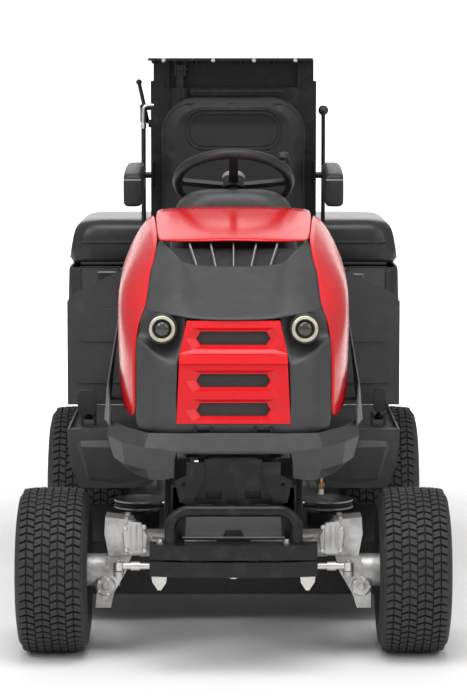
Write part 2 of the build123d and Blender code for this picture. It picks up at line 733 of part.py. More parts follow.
def pedal_bracket(s):
    """Two ears and the pin that one pedal turns on."""
    x, y, z = s * 381, pedal_d + 60, foot_z + 24
    fixed = rod((x - 18, y, z), (x + 18, y, z), 5)
    for e in (-20, 14):
        fixed += block(x + e, x + e + 6, y - 12, y + 12, foot_z, z + 10)
    return fixed


def wing_profile(side, peak, shoulder, low, k):
    """Cross outline of one wing; k moves it inwards for the inner skin."""
    top = [(tunnel_half + k, peak - 24 - k), (tunnel_half + 24, peak - k), (320, peak - k),
           (wing_outer - 24 - k / 2, shoulder - k), (wing_outer - k, shoulder - 26 - k)]
    points = [(tunnel_half + k, low)] + top + [(wing_outer - k, low)]
    return [(side * x, z) for x, z in points]


def rear_body():
    """Wings over the rear tyres joined by the seat deck, with the seat's front hinge pins."""
    low = foot_z
    t = foot_sheet
    shape = None
    for s in sides.values():
        ends = ((wing_front, wing_peak, wing_top), (wing_rear, wing_peak - 90, wing_top - 80))
        outer = hull_between([[(x, d, z) for x, z in wing_profile(s, peak, sh, low, 0)]
                              for d, peak, sh in ends])
        inner_ends = ((wing_front + t, wing_peak, wing_top), (wing_rear - t, wing_peak - 90, wing_top - 80))
        inner = hull_between([[(x, d, z) for x, z in wing_profile(s, peak, sh, low - 1, t)]
                              for d, peak, sh in inner_ends])
        wing = outer - inner
        shape = wing if shape is None else shape + wing
    shape += block(-tunnel_half - 1, tunnel_half + 1, wing_front, wing_rear - 30, seat_deck_z - t, seat_deck_z)
    shape += block(-tunnel_half - 1, tunnel_half + 1, wing_front, wing_front + t, low + 60, seat_deck_z)
    for s in sides.values():
        for x in (s * 144, s * 196):
            shape += block(x - 4, x + 4, seat_hinge_d - 13, seat_hinge_d + 13, seat_deck_z, seat_hinge_z + 10)
        shape += rod((s * 142, seat_hinge_d, seat_hinge_z), (s * 198, seat_hinge_d, seat_hinge_z), seat_hinge_r)
        shape += block(*sorted((s * (rail_x - 20), s * (rail_x - 4))), wing_front, wing_front + 24,
                       rail_bottom + rail_h, low + 70)
        shape += block(*sorted((s * (rail_x - 24), s * (rail_x - 4))), wing_rear - 60, wing_rear - 34,
                       rail_bottom + rail_h, seat_deck_z - t)
    cap_z = 796
    cap = rod((-331, 985, cap_z), (-331, 985, cap_z + 62), 34)
    cap_neck = rod((-331, 985, cap_z - 20), (-331, 985, cap_z), 26)
    box_z = 840
    box = chamfer(block(330, 380, 960, 1010, box_z - 60, box_z + 24).edges().filter_by(Axis.Z), 6)
    cap = mirror(cap + cap_neck, about=Plane.YZ)
    box = mirror(box, about=Plane.YZ)
    outside = [(piece - shape).solids().sort_by(Axis.Z)[-1] for piece in (cap, box)]
    return {"rear_body": shape, "wing_fittings": group(outside)}


def dash_console():
    """Hollow column cover between the hood and the rider's feet."""
    front = hood_rear + 6

    def ring(half, y0, y1, z, k):
        h = half - k
        return [(-h, y0 + k, z), (h, y0 + k, z), (h, y1 - k, z), (-h, y1 - k, z)]

    levels = [(dash_half - 20, front, dash_rear, rail_bottom + rail_h), (dash_half, front, dash_rear, 900),
              (dash_half - 9, front + 12, dash_rear - 8, 1052), (dash_half - 64, front + 52, dash_rear - 45, dash_top)]
    outer = hull_between([ring(h, a, b, z, 0) for h, a, b, z in levels])
    zs = [rail_bottom + rail_h - 1, 900, 1048, dash_top - 5]
    inner = hull_between([ring(h, a, b, z, 5) for (h, a, b, old_z), z in zip(levels, zs)])
    foot = block(-dash_half + 20, dash_half - 20, 700, dash_rear, rail_bottom + rail_h, rail_bottom + rail_h + 5)
    a = math.radians(column_tilt)
    axis = (0, math.sin(a), math.cos(a))

    def along(t):
        return (0, wheel_centre_d + t * axis[1], wheel_centre_z + t * axis[2])

    shell = outer - inner + foot - rod(along(-400), along(20), column_r + 6)
    tube = pipe(along(-260), along(-34), column_r + 6, column_r + running_gap)
    brace = block(-70, 70, front + 2, front + 8, 850, 960)
    brace += prism_x([(front + 2, 900), (front + 2, 912), (along(-240)[1], along(-240)[2] + 6),
                      (along(-240)[1], along(-240)[2] - 6)], -16, 16)
    brace -= rod(along(-300), along(-34), column_r + 1)
    return {"dash_console": shell + tube + (brace & outer)}


def steering():
    """Wheel with three spokes on its shaft, the hub cap and the spinner knob."""
    a = math.radians(column_tilt)
    plane = Plane(origin=(0, wheel_centre_d, wheel_centre_z), x_dir=(1, 0, 0),
                  z_dir=(0, math.sin(a), math.cos(a)))
    up = (Align.CENTER, Align.CENTER, Align.MIN)
    wheel = Torus(wheel_rim_R, wheel_rim_r)
    wheel += Pos(0, 0, -26) * Cylinder(30, 34, align=up)
    for angle in (0, 180, 270):
        spoke = hull_between([[(x, -13 + lean, z0), (x, 13 - lean, z0), (x, 11 - lean, z0 + 12), (x, -11 + lean, z0 + 12)]
                              for x, z0, lean in ((22, -20, 0), (wheel_rim_R - 2, -6, 2))])
        wheel += Rot(0, 0, angle) * spoke
    wheel += Pos(0, 0, -255) * Cylinder(column_r, 235, align=up)
    cap = Pos(0, 0, 8) * Cylinder(hub_cap_r - 6, 14, align=up)
    cap = chamfer(cap.edges().group_by(Axis.Z)[-1], 7)
    angle = math.radians(-28)
    kx, ky = wheel_rim_R * math.cos(angle), wheel_rim_R * math.sin(angle)
    knob = Pos(kx, ky, wheel_rim_r - 4) * Cylinder(7, 16, align=up)
    knob += Pos(kx, ky, wheel_rim_r + 9) * Cylinder(19, 22, align=up)
    knob -= Torus(wheel_rim_R, wheel_rim_r)
    return {"steering_wheel": plane * wheel, "steering_trim": group(plane * cap, plane * knob)}


# ---------------------------------------------------------------- seat
def seat():
    """Pan and back plate in steel, two cushions and two fold-up arm rests."""
    pan = block(-205, 205, seat_hinge_d + 4, back_rear + 6, cushion_low - 12, cushion_low)
    for s in sides.values():
        x0, x1 = sorted((s * 151, s * 189))
        pan += rod((x0, seat_hinge_d, seat_hinge_z), (x1, seat_hinge_d, seat_hinge_z), 13)
        pan += block(x0, x1, seat_hinge_d, seat_hinge_d + 30, seat_hinge_z + 6, cushion_low - 2)
        pan -= rod((x0 - 1, seat_hinge_d, seat_hinge_z), (x1 + 1, seat_hinge_d, seat_hinge_z),
                   seat_hinge_r + running_gap)
        pan += block(*sorted((s * 150, s * 190)), 1330, 1370, seat_deck_z + 0.5, cushion_low - 10)
    pan += block(-seat_half - 6, seat_half + 6, back_rear, back_rear + 6, cushion_low - 12, arm_pivot_z + 60)
    for s in sides.values():
        cheek = block(*sorted((s * (seat_half + 1), s * (seat_half + 6))), arm_pivot_d - 20, back_rear + 6,
                      arm_pivot_z - 40, arm_pivot_z + 40)
        pin = rod((s * (seat_half + 2), arm_pivot_d, arm_pivot_z), (s * (arm_x + 4), arm_pivot_d, arm_pivot_z),
                  arm_pin_r)
        pan += cheek + pin
    cushion = block(-seat_half + 5, seat_half - 5, cushion_front, cushion_rear - 36, cushion_low, cushion_high)
    cushion = chamfer(cushion.edges().group_by(Axis.Z)[-1], 22)
    back = prism_y([(-seat_half + 25, cushion_low + 3), (seat_half - 25, cushion_low + 3),
                    (seat_half, 900), (seat_half, 1110), (seat_half - 12, 1260), (seat_half - 60, back_top - 12),
                    (seat_half - 120, back_top), (-seat_half + 120, back_top), (-seat_half + 60, back_top - 12),
                    (-seat_half + 12, 1260), (-seat_half, 1110), (-seat_half, 900)], back_front, back_rear)
    back = chamfer(back.faces().sort_by(Axis.Y)[0].edges(), 14)
    made = {"seat_frame": pan, "seat_cushion": cushion, "seat_back": back}
    for side, s in sides.items():
        x0, x1 = sorted((s * (arm_x - arm_half), s * (arm_x + arm_half)))
        a = math.radians(arm_slope)
        fwd = (-math.cos(a), -math.sin(a))
        up = (-math.sin(a), math.cos(a))

        def at(t, h):
            return (arm_pivot_d + t * fwd[0] + h * up[0], arm_pivot_z + t * fwd[1] + h * up[1])

        pad = prism_x([at(-28, -26), at(-30, 20), at(-16, 44), at(290, 44), at(arm_length - 6, 30),
                       at(arm_length, 4), at(290, -18), at(30, -30)], x0, x1)
        pad -= rod((x0 - 1, arm_pivot_d, arm_pivot_z), (x1 + 1, arm_pivot_d, arm_pivot_z),
                   arm_pin_r + running_gap)
        made[f"arm_rest_{side}"] = pad
    return made


# ---------------------------------------------------------------- pedals and lever
def controls():
    """Two foot pedals on floor brackets and the catcher's dump lever."""
    made = {}
    axis_z = foot_z + 24
    for side, s in sides.items():
        x = s * 381
        y = pedal_d + 60
        boss = rod((x - 11, y, axis_z), (x + 11, y, axis_z), 11)
        arm = bent_bar([(x, y, axis_z), (x, y - 30, axis_z + 8), (x, pedal_d, 566)], 14, pedal_rod_r)
        if side == "right":
            pad = prism_y([(x - 25, 548), (x - 18, 536), (x + 18, 536), (x + 25, 548), (x + 25, 586),
                           (x + 18, 598), (x - 18, 598), (x - 25, 586)], pedal_d - 10, pedal_d + 4)
        else:
            pad = block(x - 15, x + 15, pedal_d - 10, pedal_d + 4, 542, 604)
            pad = chamfer(pad.edges().filter_by(Axis.Y), 6)
        arm = boss + arm + pad
        made[f"pedal_{side}"] = arm - rod((x - 12, y, axis_z), (x + 12, y, axis_z), 5 + running_gap)
    z = lever_pivot_z
    lever = rod((lever_x, lever_d, z + 10), (lever_x, lever_d, lever_top - 8), lever_r)
    lever += rod((lever_x - 9, lever_d, z), (lever_x + 9, lever_d, z), 16)
    lever -= rod((lever_x - 20, lever_d, z), (lever_x + 20, lever_d, z), 8 + running_gap)
    knob = Pos(lever_x, lever_d, lever_top) * Sphere(knob_r)
    made["dump_lever"] = lever - Pos(lever_x, lever_d, lever_top) * Sphere(knob_r)
    made["lever_knob"] = knob
    return made


# ---------------------------------------------------------------- mower deck
def deck():
    """Pressed shell with rear outlet, two spindles, belt, blades and four guide posts."""
    t = deck_sheet
    low, high = deck_low, deck_high
    plan = [(-deck_half, deck_front + 90), (-deck_half + 80, deck_front), (deck_half - 80, deck_front),
            (deck_half, deck_front + 90), (deck_half, deck_rear - 120), (deck_half - 120, deck_rear),
            (-deck_half + 120, deck_rear), (-deck_half, deck_rear - 120)]
    inner_plan = [(-deck_half + t, deck_front + 90 + t / 2), (-deck_half + 80 + t / 2, deck_front + t),
                  (deck_half - 80 - t / 2, deck_front + t), (deck_half - t, deck_front + 90 + t / 2),
                  (deck_half - t, deck_rear - 120 - t / 2), (deck_half - 120 - t / 2, deck_rear - t),
                  (-deck_half + 120 + t / 2, deck_rear - t), (-deck_half + t, deck_rear - 120 - t / 2)]
    shell = prism_z(plan, low, high) - prism_z(inner_plan, low - 1, high - t)
    shell -= block(-duct_half, duct_half, deck_rear - 20, deck_rear + 5, low + 32, high - t)
    for s in sides.values():
        for d in guide_d:
            shell += rod((s * guide_x, d, high - 1), (s * guide_x, d, rail_bottom + 70), guide_r)
        x, y = s * spindle_x, spindle_d
        shell += rod((x, y, high), (x, y, high + 30), 52)
        shell += rod((x, y, high - 60), (x, y, high), 36)
        shell -= rod((x, y, low), (x, y, high + 60), spindle_r + running_gap)
    made = {"deck_shell": shell}
    for side, s in sides.items():
        x, y = s * spindle_x, spindle_d
        shaft = rod((x, y, blade_z - 16), (x, y, pulley_z + 12), spindle_r)
        blade = block(x - blade_len / 2, x + blade_len / 2, y - blade_w / 2, y + blade_w / 2,
                      blade_z - blade_t / 2, blade_z + blade_t / 2)
        for e in (-1, 1):
            blade += prism_x([(y + e * blade_w / 2, blade_z), (y + e * (blade_w / 2 - 16), blade_z),
                              (y + e * (blade_w / 2 + 2), blade_z + 26), (y + e * (blade_w / 2 + 6), blade_z + 26)],
                             *sorted((x + e * 150, x + e * 230)))
        pulley = Pos(x, y, pulley_z) * Cylinder(pulley_r, pulley_h)
        pulley -= Pos(x, y, pulley_z) * revolve(
            flat([(pulley_r - 10, 0, -4), (pulley_r + 1, 0, -7), (pulley_r + 1, 0, 7), (pulley_r - 10, 0, 4)]), Axis.Z)
        washer = rod((x, y, blade_z - 24), (x, y, blade_z - blade_t / 2), 30)
        made[f"blade_{side}"] = shaft + blade + washer + pulley
    inside = pulley_r - 9.6
    belt = SlotCenterToCenter(2 * spindle_x, 2 * inside + 16) - SlotCenterToCenter(2 * spindle_x, 2 * inside)
    made["deck_belt"] = Pos(0, spindle_d, pulley_z - 3.5) * extrude(belt, 7)
    return made


def chute():
    """Rectangular duct from the deck's outlet up between the rails to the catcher."""
    t = 3

    def ring(d, z, k):
        h = duct_half - k
        return [(-h, d, z + k), (h, d, z + k), (h, d, z + duct_h - k), (-h, d, z + duct_h - k)]

    line = [(deck_rear + 4, deck_low + 25), (1120, 230), (rail_rear - 60, 446), (rail_rear + 10, 470),
            (box_front - 6, 520)]
    outer = hull_between([ring(d, z, 0) for d, z in line])
    ends = [(line[0][0] - 1, line[0][1])] + line[1:-1] + [(line[-1][0] + 1, line[-1][1])]
    duct = outer - hull_between([ring(d, z, t) for d, z in ends])
    lug = block(-rail_x + rail_w, rail_x - rail_w, rail_rear - 45, rail_rear - 20, rail_bottom + rail_h - 5, 462)
    return {"grass_duct": duct + (lug - outer)}


# ---------------------------------------------------------------- mast, carriage and cylinder
def mast():
    """Two channels opening inwards, joined by a front panel, with the dump lever's pin."""
    shape = block(-mast_half + mast_flange, mast_half - mast_flange, mast_front, mast_front + mast_sheet,
                  680, mast_top - 20)
    shape -= block(-110, 110, mast_front - 1, mast_front + mast_sheet + 1, 760, 1040)
    for s in sides.values():
        web = block(*sorted((s * (mast_half - mast_sheet), s * mast_half)), mast_front, mast_front + mast_depth,
                    mast_foot, mast_top)
        shape += web
        for d in (mast_front, mast_front + mast_depth - mast_sheet):
            shape += block(*sorted((s * (mast_half - mast_flange), s * mast_half)), d, d + mast_sheet,
                           mast_foot, mast_top)
    z = lever_pivot_z
    shape += block(mast_half - 1, mast_half + 4, lever_d - 14, mast_front + 20, z - 30, z + 30)
    shape += rod((mast_half, lever_d, z), (lever_x + 10, lever_d, z), 8)
    clamp_z = 700
    shape += block(lift_x - 34, lift_x + 34, lift_d - 20, mast_front, clamp_z - 12, clamp_z)
    strap = block(lift_x - 34, lift_x + 34, lift_d - 34, mast_front, 1180, 1204)
    shape += strap - rod((lift_x, lift_d, 1170), (lift_x, lift_d, 1210), lift_barrel_r + 0.5)
    return {"mast_frame": shape}


def carriage():
    """Uprights that slide in the mast, tied by a top plate and a rear plate with pivot arms."""
    inner = 190.0
    d0, d1 = mast_front + mast_sheet + slide_gap, mast_front + mast_depth - mast_sheet - slide_gap
    outer_x = mast_half - mast_sheet - slide_gap
    shape = block(-252, 234, lift_d - 30, d1 + 14, carriage_top - top_plate_t, carriage_top)
    for s in sides.values():
        shape += block(*sorted((s * inner, s * outer_x)), d0, d1, carriage_low, carriage_top - 4)
    shape += block(-inner - 1, inner + 1, d1 - 8, d1, 860, 1010)
    shape += block(-inner - 1, inner + 1, d1 - 8, d1, 1330, carriage_top - 4)
    for s in sides.values():
        x0, x1 = sorted((s * 150, s * 170))
        shape += block(x0, x1, d1 - 1, tip_pivot_d, tip_pivot_z - 18, tip_pivot_z + 18)
        shape += rod((x0, tip_pivot_d, tip_pivot_z), (x1, tip_pivot_d, tip_pivot_z), 18)
        shape += rod((s * 160, tip_pivot_d, tip_pivot_z), (s * 192, tip_pivot_d, tip_pivot_z), tip_pin_r)
    for x in (lift_x - 17, lift_x + 11):
        shape += block(x, x + 6, lift_d - 16, lift_d + 16, carriage_top - 52, carriage_top - 4)
    eye_z = carriage_top - 34
    shape -= rod((lift_x - 20, lift_d, eye_z), (lift_x + 20, lift_d, eye_z), 6 + running_gap)
    for x in (-236, -110, 20, 120, 206):
        shape += hex_bolt(x, d0 - 22, carriage_top - top_plate_t + 1, 13, 9, up=-1)
    return {"lift_carriage": shape}


def lift_cylinder():
    """Hollow barrel fixed to the mast, its rod pinned to the carriage, and the feed hose."""
    x, d = lift_x, lift_d
    barrel = rod((x, d, lift_base_z), (x, d, lift_gland_z), lift_barrel_r)
    barrel -= rod((x, d, lift_base_z + 14), (x, d, lift_gland_z - 26), lift_bore_r)
    barrel -= rod((x, d, lift_base_z + 10), (x, d, lift_gland_z + 1), lift_rod_r + running_gap)
    eye_z = carriage_top - 34
    piston = rod((x, d, lift_base_z + 40), (x, d, eye_z - 19), lift_rod_r)
    piston += block(x - 10, x + 10, d - 13, d + 13, eye_z - 21, eye_z + 14)
    piston += rod((x - 22, d, eye_z), (x + 22, d, eye_z), 6)
    hx, hd = -mast_half - 22, mast_front + 10
    top_z = 1317
    fittings = rod((-mast_half, hd, top_z), (hx + 2, hd, top_z), 9)
    fittings += Pos(hx, hd, top_z) * Sphere(11)
    fittings += rod((hx, hd, top_z), (hx, hd, top_z - 44), 10)
    strut = rod((-mast_half - 36, mast_front + 34, 1391), (-mast_half - 9, mast_front + 34, 1268), 6)
    strut += Pos(-mast_half - 36, mast_front + 34, 1391) * Sphere(9)
    strut += rod((-mast_half, mast_front + 34, 1268), (-mast_half - 8, mast_front + 34, 1268), 12)
    valve = block(-rail_x + 4, -rail_x + 36, 1345, 1375, rail_bottom + rail_h, 484)
    hose = bent_bar([(hx, hd, top_z - 44), (hx, hd, 480), (hx, 1360, 470), (-rail_x + 4, 1360, 470)], 45, 7)
    return {"lift_barrel": barrel, "lift_rod": piston, "hose_fittings": group(fittings, strut, valve),
            "hydraulic_hose": hose}


# ---------------------------------------------------------------- catcher
def catcher():
    """Grass box with a hard cover over it, an open front port and its pivot ears."""
    t = box_wall
    shoulder = box_shoulder
    f, r = box_front, box_rear
    fx0, fx1 = box_half_top, box_half_low

    def ring(half, y0, y1, z, k):
        c = 40 - k
        h = half - k
        a, b = y0 + k, y1 - k
        return [(-h, a + c, z), (-h + c, a, z), (h - c, a, z), (h, a + c, z), (h, b - c, z), (h - c, b, z),
                (-h + c, b, z), (-h, b - c, z)]

    body = hull_between([ring(470, f, r - 60, box_low, 0), ring(fx1, f, r - 10, 697, 0),
                         ring(fx1 - 8, f, r - 4, shoulder - 2, 0)])
    hollow = hull_between([ring(470, f, r - 60, box_low + t, t), ring(fx1, f, r - 10, 697, t),
                           ring(fx1 - 8, f, r - 4, shoulder - 1, t)])
    body -= hollow
    port = block(-duct_half - 8, duct_half + 8, f - 10, f + t + 5, 505, 690)
    body -= port
    ear = block(173.5, 184, tip_pivot_d, f + t + 12, tip_pivot_z - 20, tip_pivot_z + 20)
    ear += rod((173.5, tip_pivot_d, tip_pivot_z), (184, tip_pivot_d, tip_pivot_z), 20)
    ear -= rod((160, tip_pivot_d, tip_pivot_z), (200, tip_pivot_d, tip_pivot_z), tip_pin_r + running_gap)
    cover = hull_between([ring(fx1 - 4, f, r, shoulder - 2, 0), ring(fx0 + 14, f, r - 6, 930, 0),
                          ring(fx0 - 24, f + 26, r - 40, box_top, 0)])
    cover_in = hull_between([ring(fx1 - 4, f, r, shoulder - 3, t), ring(fx0 + 14, f, r - 6, 930, t),
                             ring(fx0 - 24, f + 26, r - 40, box_top - t, t)])
    cover = cover - cover_in
    for one in both(ear):
        cover += one
    return {"catcher_box": body, "catcher_cover": cover}


# ---------------------------------------------------------------- output
def write_parts():
    """Write one STEP file for each node."""
    os.makedirs("parts", exist_ok=True)
    shift = Vector(0, front_axle_y, 0)
    for build in (wheels, chassis, front_guard, front_bracket, front_axle, power_unit, hood_shells,
                  skirt, foot_rests, rear_body, dash_console, steering, seat, controls,
                  deck, chute, mast, carriage, lift_cylinder, catcher):
        for name, shape in build().items():
            solids = [s.translate(shift) for s in shape.solids()]
            export_step(solids[0] if len(solids) == 1 else Compound(solids), f"parts/{name}.step")


write_parts()
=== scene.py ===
"""Looks of a riding lawn mower: tyres, axle, bumper, hood, seat, mast and grass catcher.

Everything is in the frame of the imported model: metres, +Z up, the mower's front towards -Y.
Sizes inside the classes are in millimetres, with d counted backwards from the front axle.
"""
import logging
import math
from dataclasses import dataclass
from enum import Enum
from typing import Callable, Optional, Sequence, Union

import bmesh
import bpy
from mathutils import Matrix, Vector


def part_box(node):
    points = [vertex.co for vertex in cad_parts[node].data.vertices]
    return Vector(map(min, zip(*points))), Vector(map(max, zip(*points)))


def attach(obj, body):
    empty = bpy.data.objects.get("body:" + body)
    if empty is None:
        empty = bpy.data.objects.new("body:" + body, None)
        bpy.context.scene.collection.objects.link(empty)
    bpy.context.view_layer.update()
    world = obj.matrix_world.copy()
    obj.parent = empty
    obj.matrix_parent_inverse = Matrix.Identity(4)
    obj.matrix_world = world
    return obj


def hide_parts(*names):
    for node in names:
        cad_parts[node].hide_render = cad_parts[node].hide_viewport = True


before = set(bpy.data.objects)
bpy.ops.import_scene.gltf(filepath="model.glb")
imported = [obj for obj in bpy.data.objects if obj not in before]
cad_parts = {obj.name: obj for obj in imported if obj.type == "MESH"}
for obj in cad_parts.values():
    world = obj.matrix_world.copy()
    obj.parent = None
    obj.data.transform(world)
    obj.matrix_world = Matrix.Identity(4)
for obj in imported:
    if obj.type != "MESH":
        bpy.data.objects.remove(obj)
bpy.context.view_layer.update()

log = logging.getLogger("mower")

MM = 0.001
SEW_DISTANCE = 0.0004           # points nearer than this are one point, in metres
CREASE = 0.75                   # how sharp a creased row stays, from 0 to 1
AXLE_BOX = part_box("front_axle_casting")
AXLE_Y = (AXLE_BOX[0][1] + AXLE_BOX[1][1]) / 2

Point = tuple[float, float, float]
Flat = tuple[float, float]


def at(x: float, d: float, z: float) -> Vector:
    """A place in metres from x, distance behind the front axle and height in millimetres."""
    return Vector((x * MM, AXLE_Y + d * MM, z * MM))


# ------------------------------------------------------------------ shader expressions
Value = Union["Signal", float]


class Signal:
    """A shader socket that can be used in Python arithmetic."""

    def __init__(self, shop: "Shop", socket: bpy.types.NodeSocket) -> None:
        """Keep the socket and the node tree it belongs to."""
        self.shop = shop
        self.socket = socket

    def _math(self, operation: str, first: Value, second: Value) -> "Signal":
        """Add one Math node.

        Args:
            operation: the Math node's operation.
            first: left operand.
            second: right operand.

        Returns:
            The node's output as a new signal.
        """
        return self.shop.node("ShaderNodeMath", {"operation": operation}, {0: first, 1: second})

    def __add__(self, other: Value) -> "Signal":
        """Sum of two values."""
        return self._math("ADD", self, other)

    def __radd__(self, other: Value) -> "Signal":
        """Sum with the number on the left."""
        return self._math("ADD", other, self)

    def __sub__(self, other: Value) -> "Signal":
        """Difference of two values."""
        return self._math("SUBTRACT", self, other)

    def __rsub__(self, other: Value) -> "Signal":
        """Difference with the number on the left."""
        return self._math("SUBTRACT", other, self)

    def __mul__(self, other: Value) -> "Signal":
        """Product of two values."""
        return self._math("MULTIPLY", self, other)

    def __rmul__(self, other: Value) -> "Signal":
        """Product with the number on the left."""
        return self._math("MULTIPLY", other, self)

    def abs(self) -> "Signal":
        """Size without its sign."""
        return self._math("ABSOLUTE", self, 0.0)

    def ramp(self, low: float, high: float) -> "Signal":
        """Zero below low, one above high and straight between.

        Args:
            low: value that maps to zero.
            high: value that maps to one.

        Returns:
            The clamped signal.
        """
        return self.shop.node("ShaderNodeMapRange", {"clamp": True},
                              {"Value": self, "From Min": low, "From Max": high})


class Shop:
    """Builds one node material."""

    def __init__(self, name: str) -> None:
        """Start an empty material with its surface shader."""
        self.material = bpy.data.materials.new(name)
        self.material.use_nodes = True
        self.tree = self.material.node_tree
        self.shader = self.tree.nodes["Principled BSDF"]

    def node(self, kind: str, settings: dict[str, object], inputs: dict[Union[str, int], object],
             output: Union[str, int] = 0) -> Signal:
        """Add any node.

        Args:
            kind: the node's type.
            settings: properties set before its sockets are used.
            inputs: socket name or number to a value or signal.
            output: which output to return.

        Returns:
            The output as a signal.
        """
        made = self.tree.nodes.new(kind)
        for key, value in settings.items():
            setattr(made, key, value)
        for key, value in inputs.items():
            self.feed(made.inputs[key], value)
        return Signal(self, made.outputs[output])

    def feed(self, socket: bpy.types.NodeSocket, value: object) -> None:
        """Link a signal to a socket, or set the socket to a constant."""
        if isinstance(value, Signal):
            self.tree.links.new(value.socket, socket)
        else:
            socket.default_value = value

    def place(self) -> Signal:
        """The point on the surface, in the piece's own metres."""
        return self.node("ShaderNodeTexCoord", {}, {}, "Object")

    def stretched(self, scale: Point) -> Signal:
        """The surface point scaled along each axis."""
        return self.node("ShaderNodeVectorMath", {"operation": "MULTIPLY"}, {0: self.place(), 1: scale})

    def axis(self, name: str) -> Signal:
        """One coordinate of the surface point, named X, Y or Z."""
        return self.node("ShaderNodeSeparateXYZ", {}, {0: self.place()}, name)

    def noise(self, scale: float, detail: float = 3.0, where: Optional[Signal] = None) -> Signal:
        """Cloudy variation between zero and one.

        Args:
            scale: features per metre.
            detail: number of finer octaves.
            where: coordinates, the surface point if left out.

        Returns:
            The noise value.
        """
        return self.node("ShaderNodeTexNoise", {}, {"Vector": where or self.place(), "Scale": scale,
                                                    "Detail": detail, "Roughness": 0.55})

    def cells(self, scale: float, feature: str = "F1", where: Optional[Signal] = None) -> Signal:
        """Distance inside a pattern of irregular cells."""
        return self.node("ShaderNodeTexVoronoi", {"feature": feature},
                         {"Vector": where or self.place(), "Scale": scale}, "Distance")

    def wave(self, direction: str, scale: float, distortion: float = 0.0) -> Signal:
        """Parallel bands across one axis."""
        return self.node("ShaderNodeTexWave", {"bands_direction": direction},
                         {"Vector": self.place(), "Scale": scale, "Distortion": distortion}, "Fac")

    def blend(self, amount: Value, first: Sequence[float], second: Sequence[float]) -> Signal:
        """Colour between two colours or signals."""
        return self.node("ShaderNodeMix", {"data_type": "RGBA"}, {0: amount, 6: first, 7: second}, 2)

    def bump(self, height: Value, depth: float, strength: float = 1.0) -> Signal:
        """Normal raised by a height pattern, with the depth in metres."""
        return self.node("ShaderNodeBump", {}, {"Height": height, "Distance": depth, "Strength": strength})

    def surface(self, **sockets: object) -> bpy.types.Material:
        """Feed the surface shader, with spaces in socket names written as underscores.

        Args:
            **sockets: socket name to a constant or signal.

        Returns:
            The finished material.
        """
        for key, value in sockets.items():
            if isinstance(value, tuple) and len(value) == 3:
                value = (*value, 1.0)
            self.feed(self.shader.inputs[key.replace("_", " ")], value)
        return self.material


def rgba(colour: Point) -> tuple[float, float, float, float]:
    """A colour with full opacity."""
    return (*colour, 1.0)


def shade(colour: Point, factor: float) -> Point:
    """A colour made lighter or darker."""
    return tuple(min(1.0, c * factor) for c in colour)


# ------------------------------------------------------------------ finishes
@dataclass(frozen=True)
class GlossPanel:
    """Moulded panel in a solid colour with a clear gloss."""

    name: str
    colour: Point
    roughness: float = 0.22

    def make(self) -> bpy.types.Material:
        """Colour clouds, faint orange peel, dust that dulls the gloss and small scratches."""
        s = Shop(self.name)
        cloud = s.noise(6.0, 4.0)
        dust = s.noise(55.0, 6.0).ramp(0.52, 0.78)
        scratch = s.noise(40.0, 2.0, s.stretched((12.0, 1.0, 14.0))).ramp(0.66, 0.72)
        colour = s.blend(cloud, rgba(shade(self.colour, 0.92)), rgba(shade(self.colour, 1.06)))
        colour = s.blend(dust * 0.015, colour, (0.45, 0.4, 0.36, 1.0))
        peel = s.noise(420.0, 1.0) * 0.5 + s.noise(60.0, 1.0)
        return s.surface(Base_Color=colour, Roughness=self.roughness + dust * 0.08 + scratch * 0.03,
                         Specular_IOR_Level=0.3, Coat_Weight=0.1, Coat_Roughness=0.08,
                         Normal=s.bump(peel, 0.00025, 0.35))


@dataclass(frozen=True)
class GrainedPlastic:
    """Unpainted moulding with a fine eroded grain."""

    name: str
    colour: Point
    roughness: float = 0.46
    grain: float = 900.0
    depth: float = 0.00025

    def make(self) -> bpy.types.Material:
        """Grain bump, cloudy tone, greyed specks and dust in patches."""
        s = Shop(self.name)
        cloud = s.noise(7.0, 5.0)
        dust = s.noise(30.0, 7.0).ramp(0.5, 0.85)
        colour = s.blend(cloud, rgba(shade(self.colour, 0.84)), rgba(shade(self.colour, 1.16)))
        colour = s.blend(s.noise(110.0, 5.0).ramp(0.66, 0.74) * 0.14, colour, rgba(shade(self.colour, 2.2)))
        colour = s.blend(dust * 0.08, colour, (0.3, 0.28, 0.25, 1.0))
        height = s.cells(self.grain) + s.noise(self.grain * 1.7, 2.0) * 0.7
        return s.surface(Base_Color=colour, Roughness=self.roughness + dust * 0.12 + cloud * 0.06,
                         Specular_IOR_Level=0.45, Normal=s.bump(height, self.depth, 0.55))


@dataclass(frozen=True)
class PaintedSteel:
    """Powder coated steel, chipped a little in scattered spots."""

    name: str
    colour: Point
    roughness: float = 0.34

    def make(self) -> bpy.types.Material:
        """Powder coat ripple, scattered rubbed spots that show metal, and dust."""
        s = Shop(self.name)
        cloud = s.noise(12.0, 5.0)
        chips = s.noise(190.0, 6.0).ramp(0.735, 0.76) * 0.6
        dust = s.noise(26.0, 6.0).ramp(0.5, 0.8)
        colour = s.blend(cloud, rgba(shade(self.colour, 0.8)), rgba(shade(self.colour, 1.25)))
        colour = s.blend(dust * 0.07, colour, (0.32, 0.29, 0.25, 1.0))
        colour = s.blend(chips, colour, (0.32, 0.31, 0.3, 1.0))
        ripple = s.noise(700.0, 2.0) + s.noise(130.0, 2.0) * 0.6
        return s.surface(Base_Color=colour, Metallic=chips * 0.8,
                         Roughness=self.roughness + dust * 0.14 + cloud * 0.05,
                         Specular_IOR_Level=0.3, Normal=s.bump(ripple, 0.0002, 0.5))


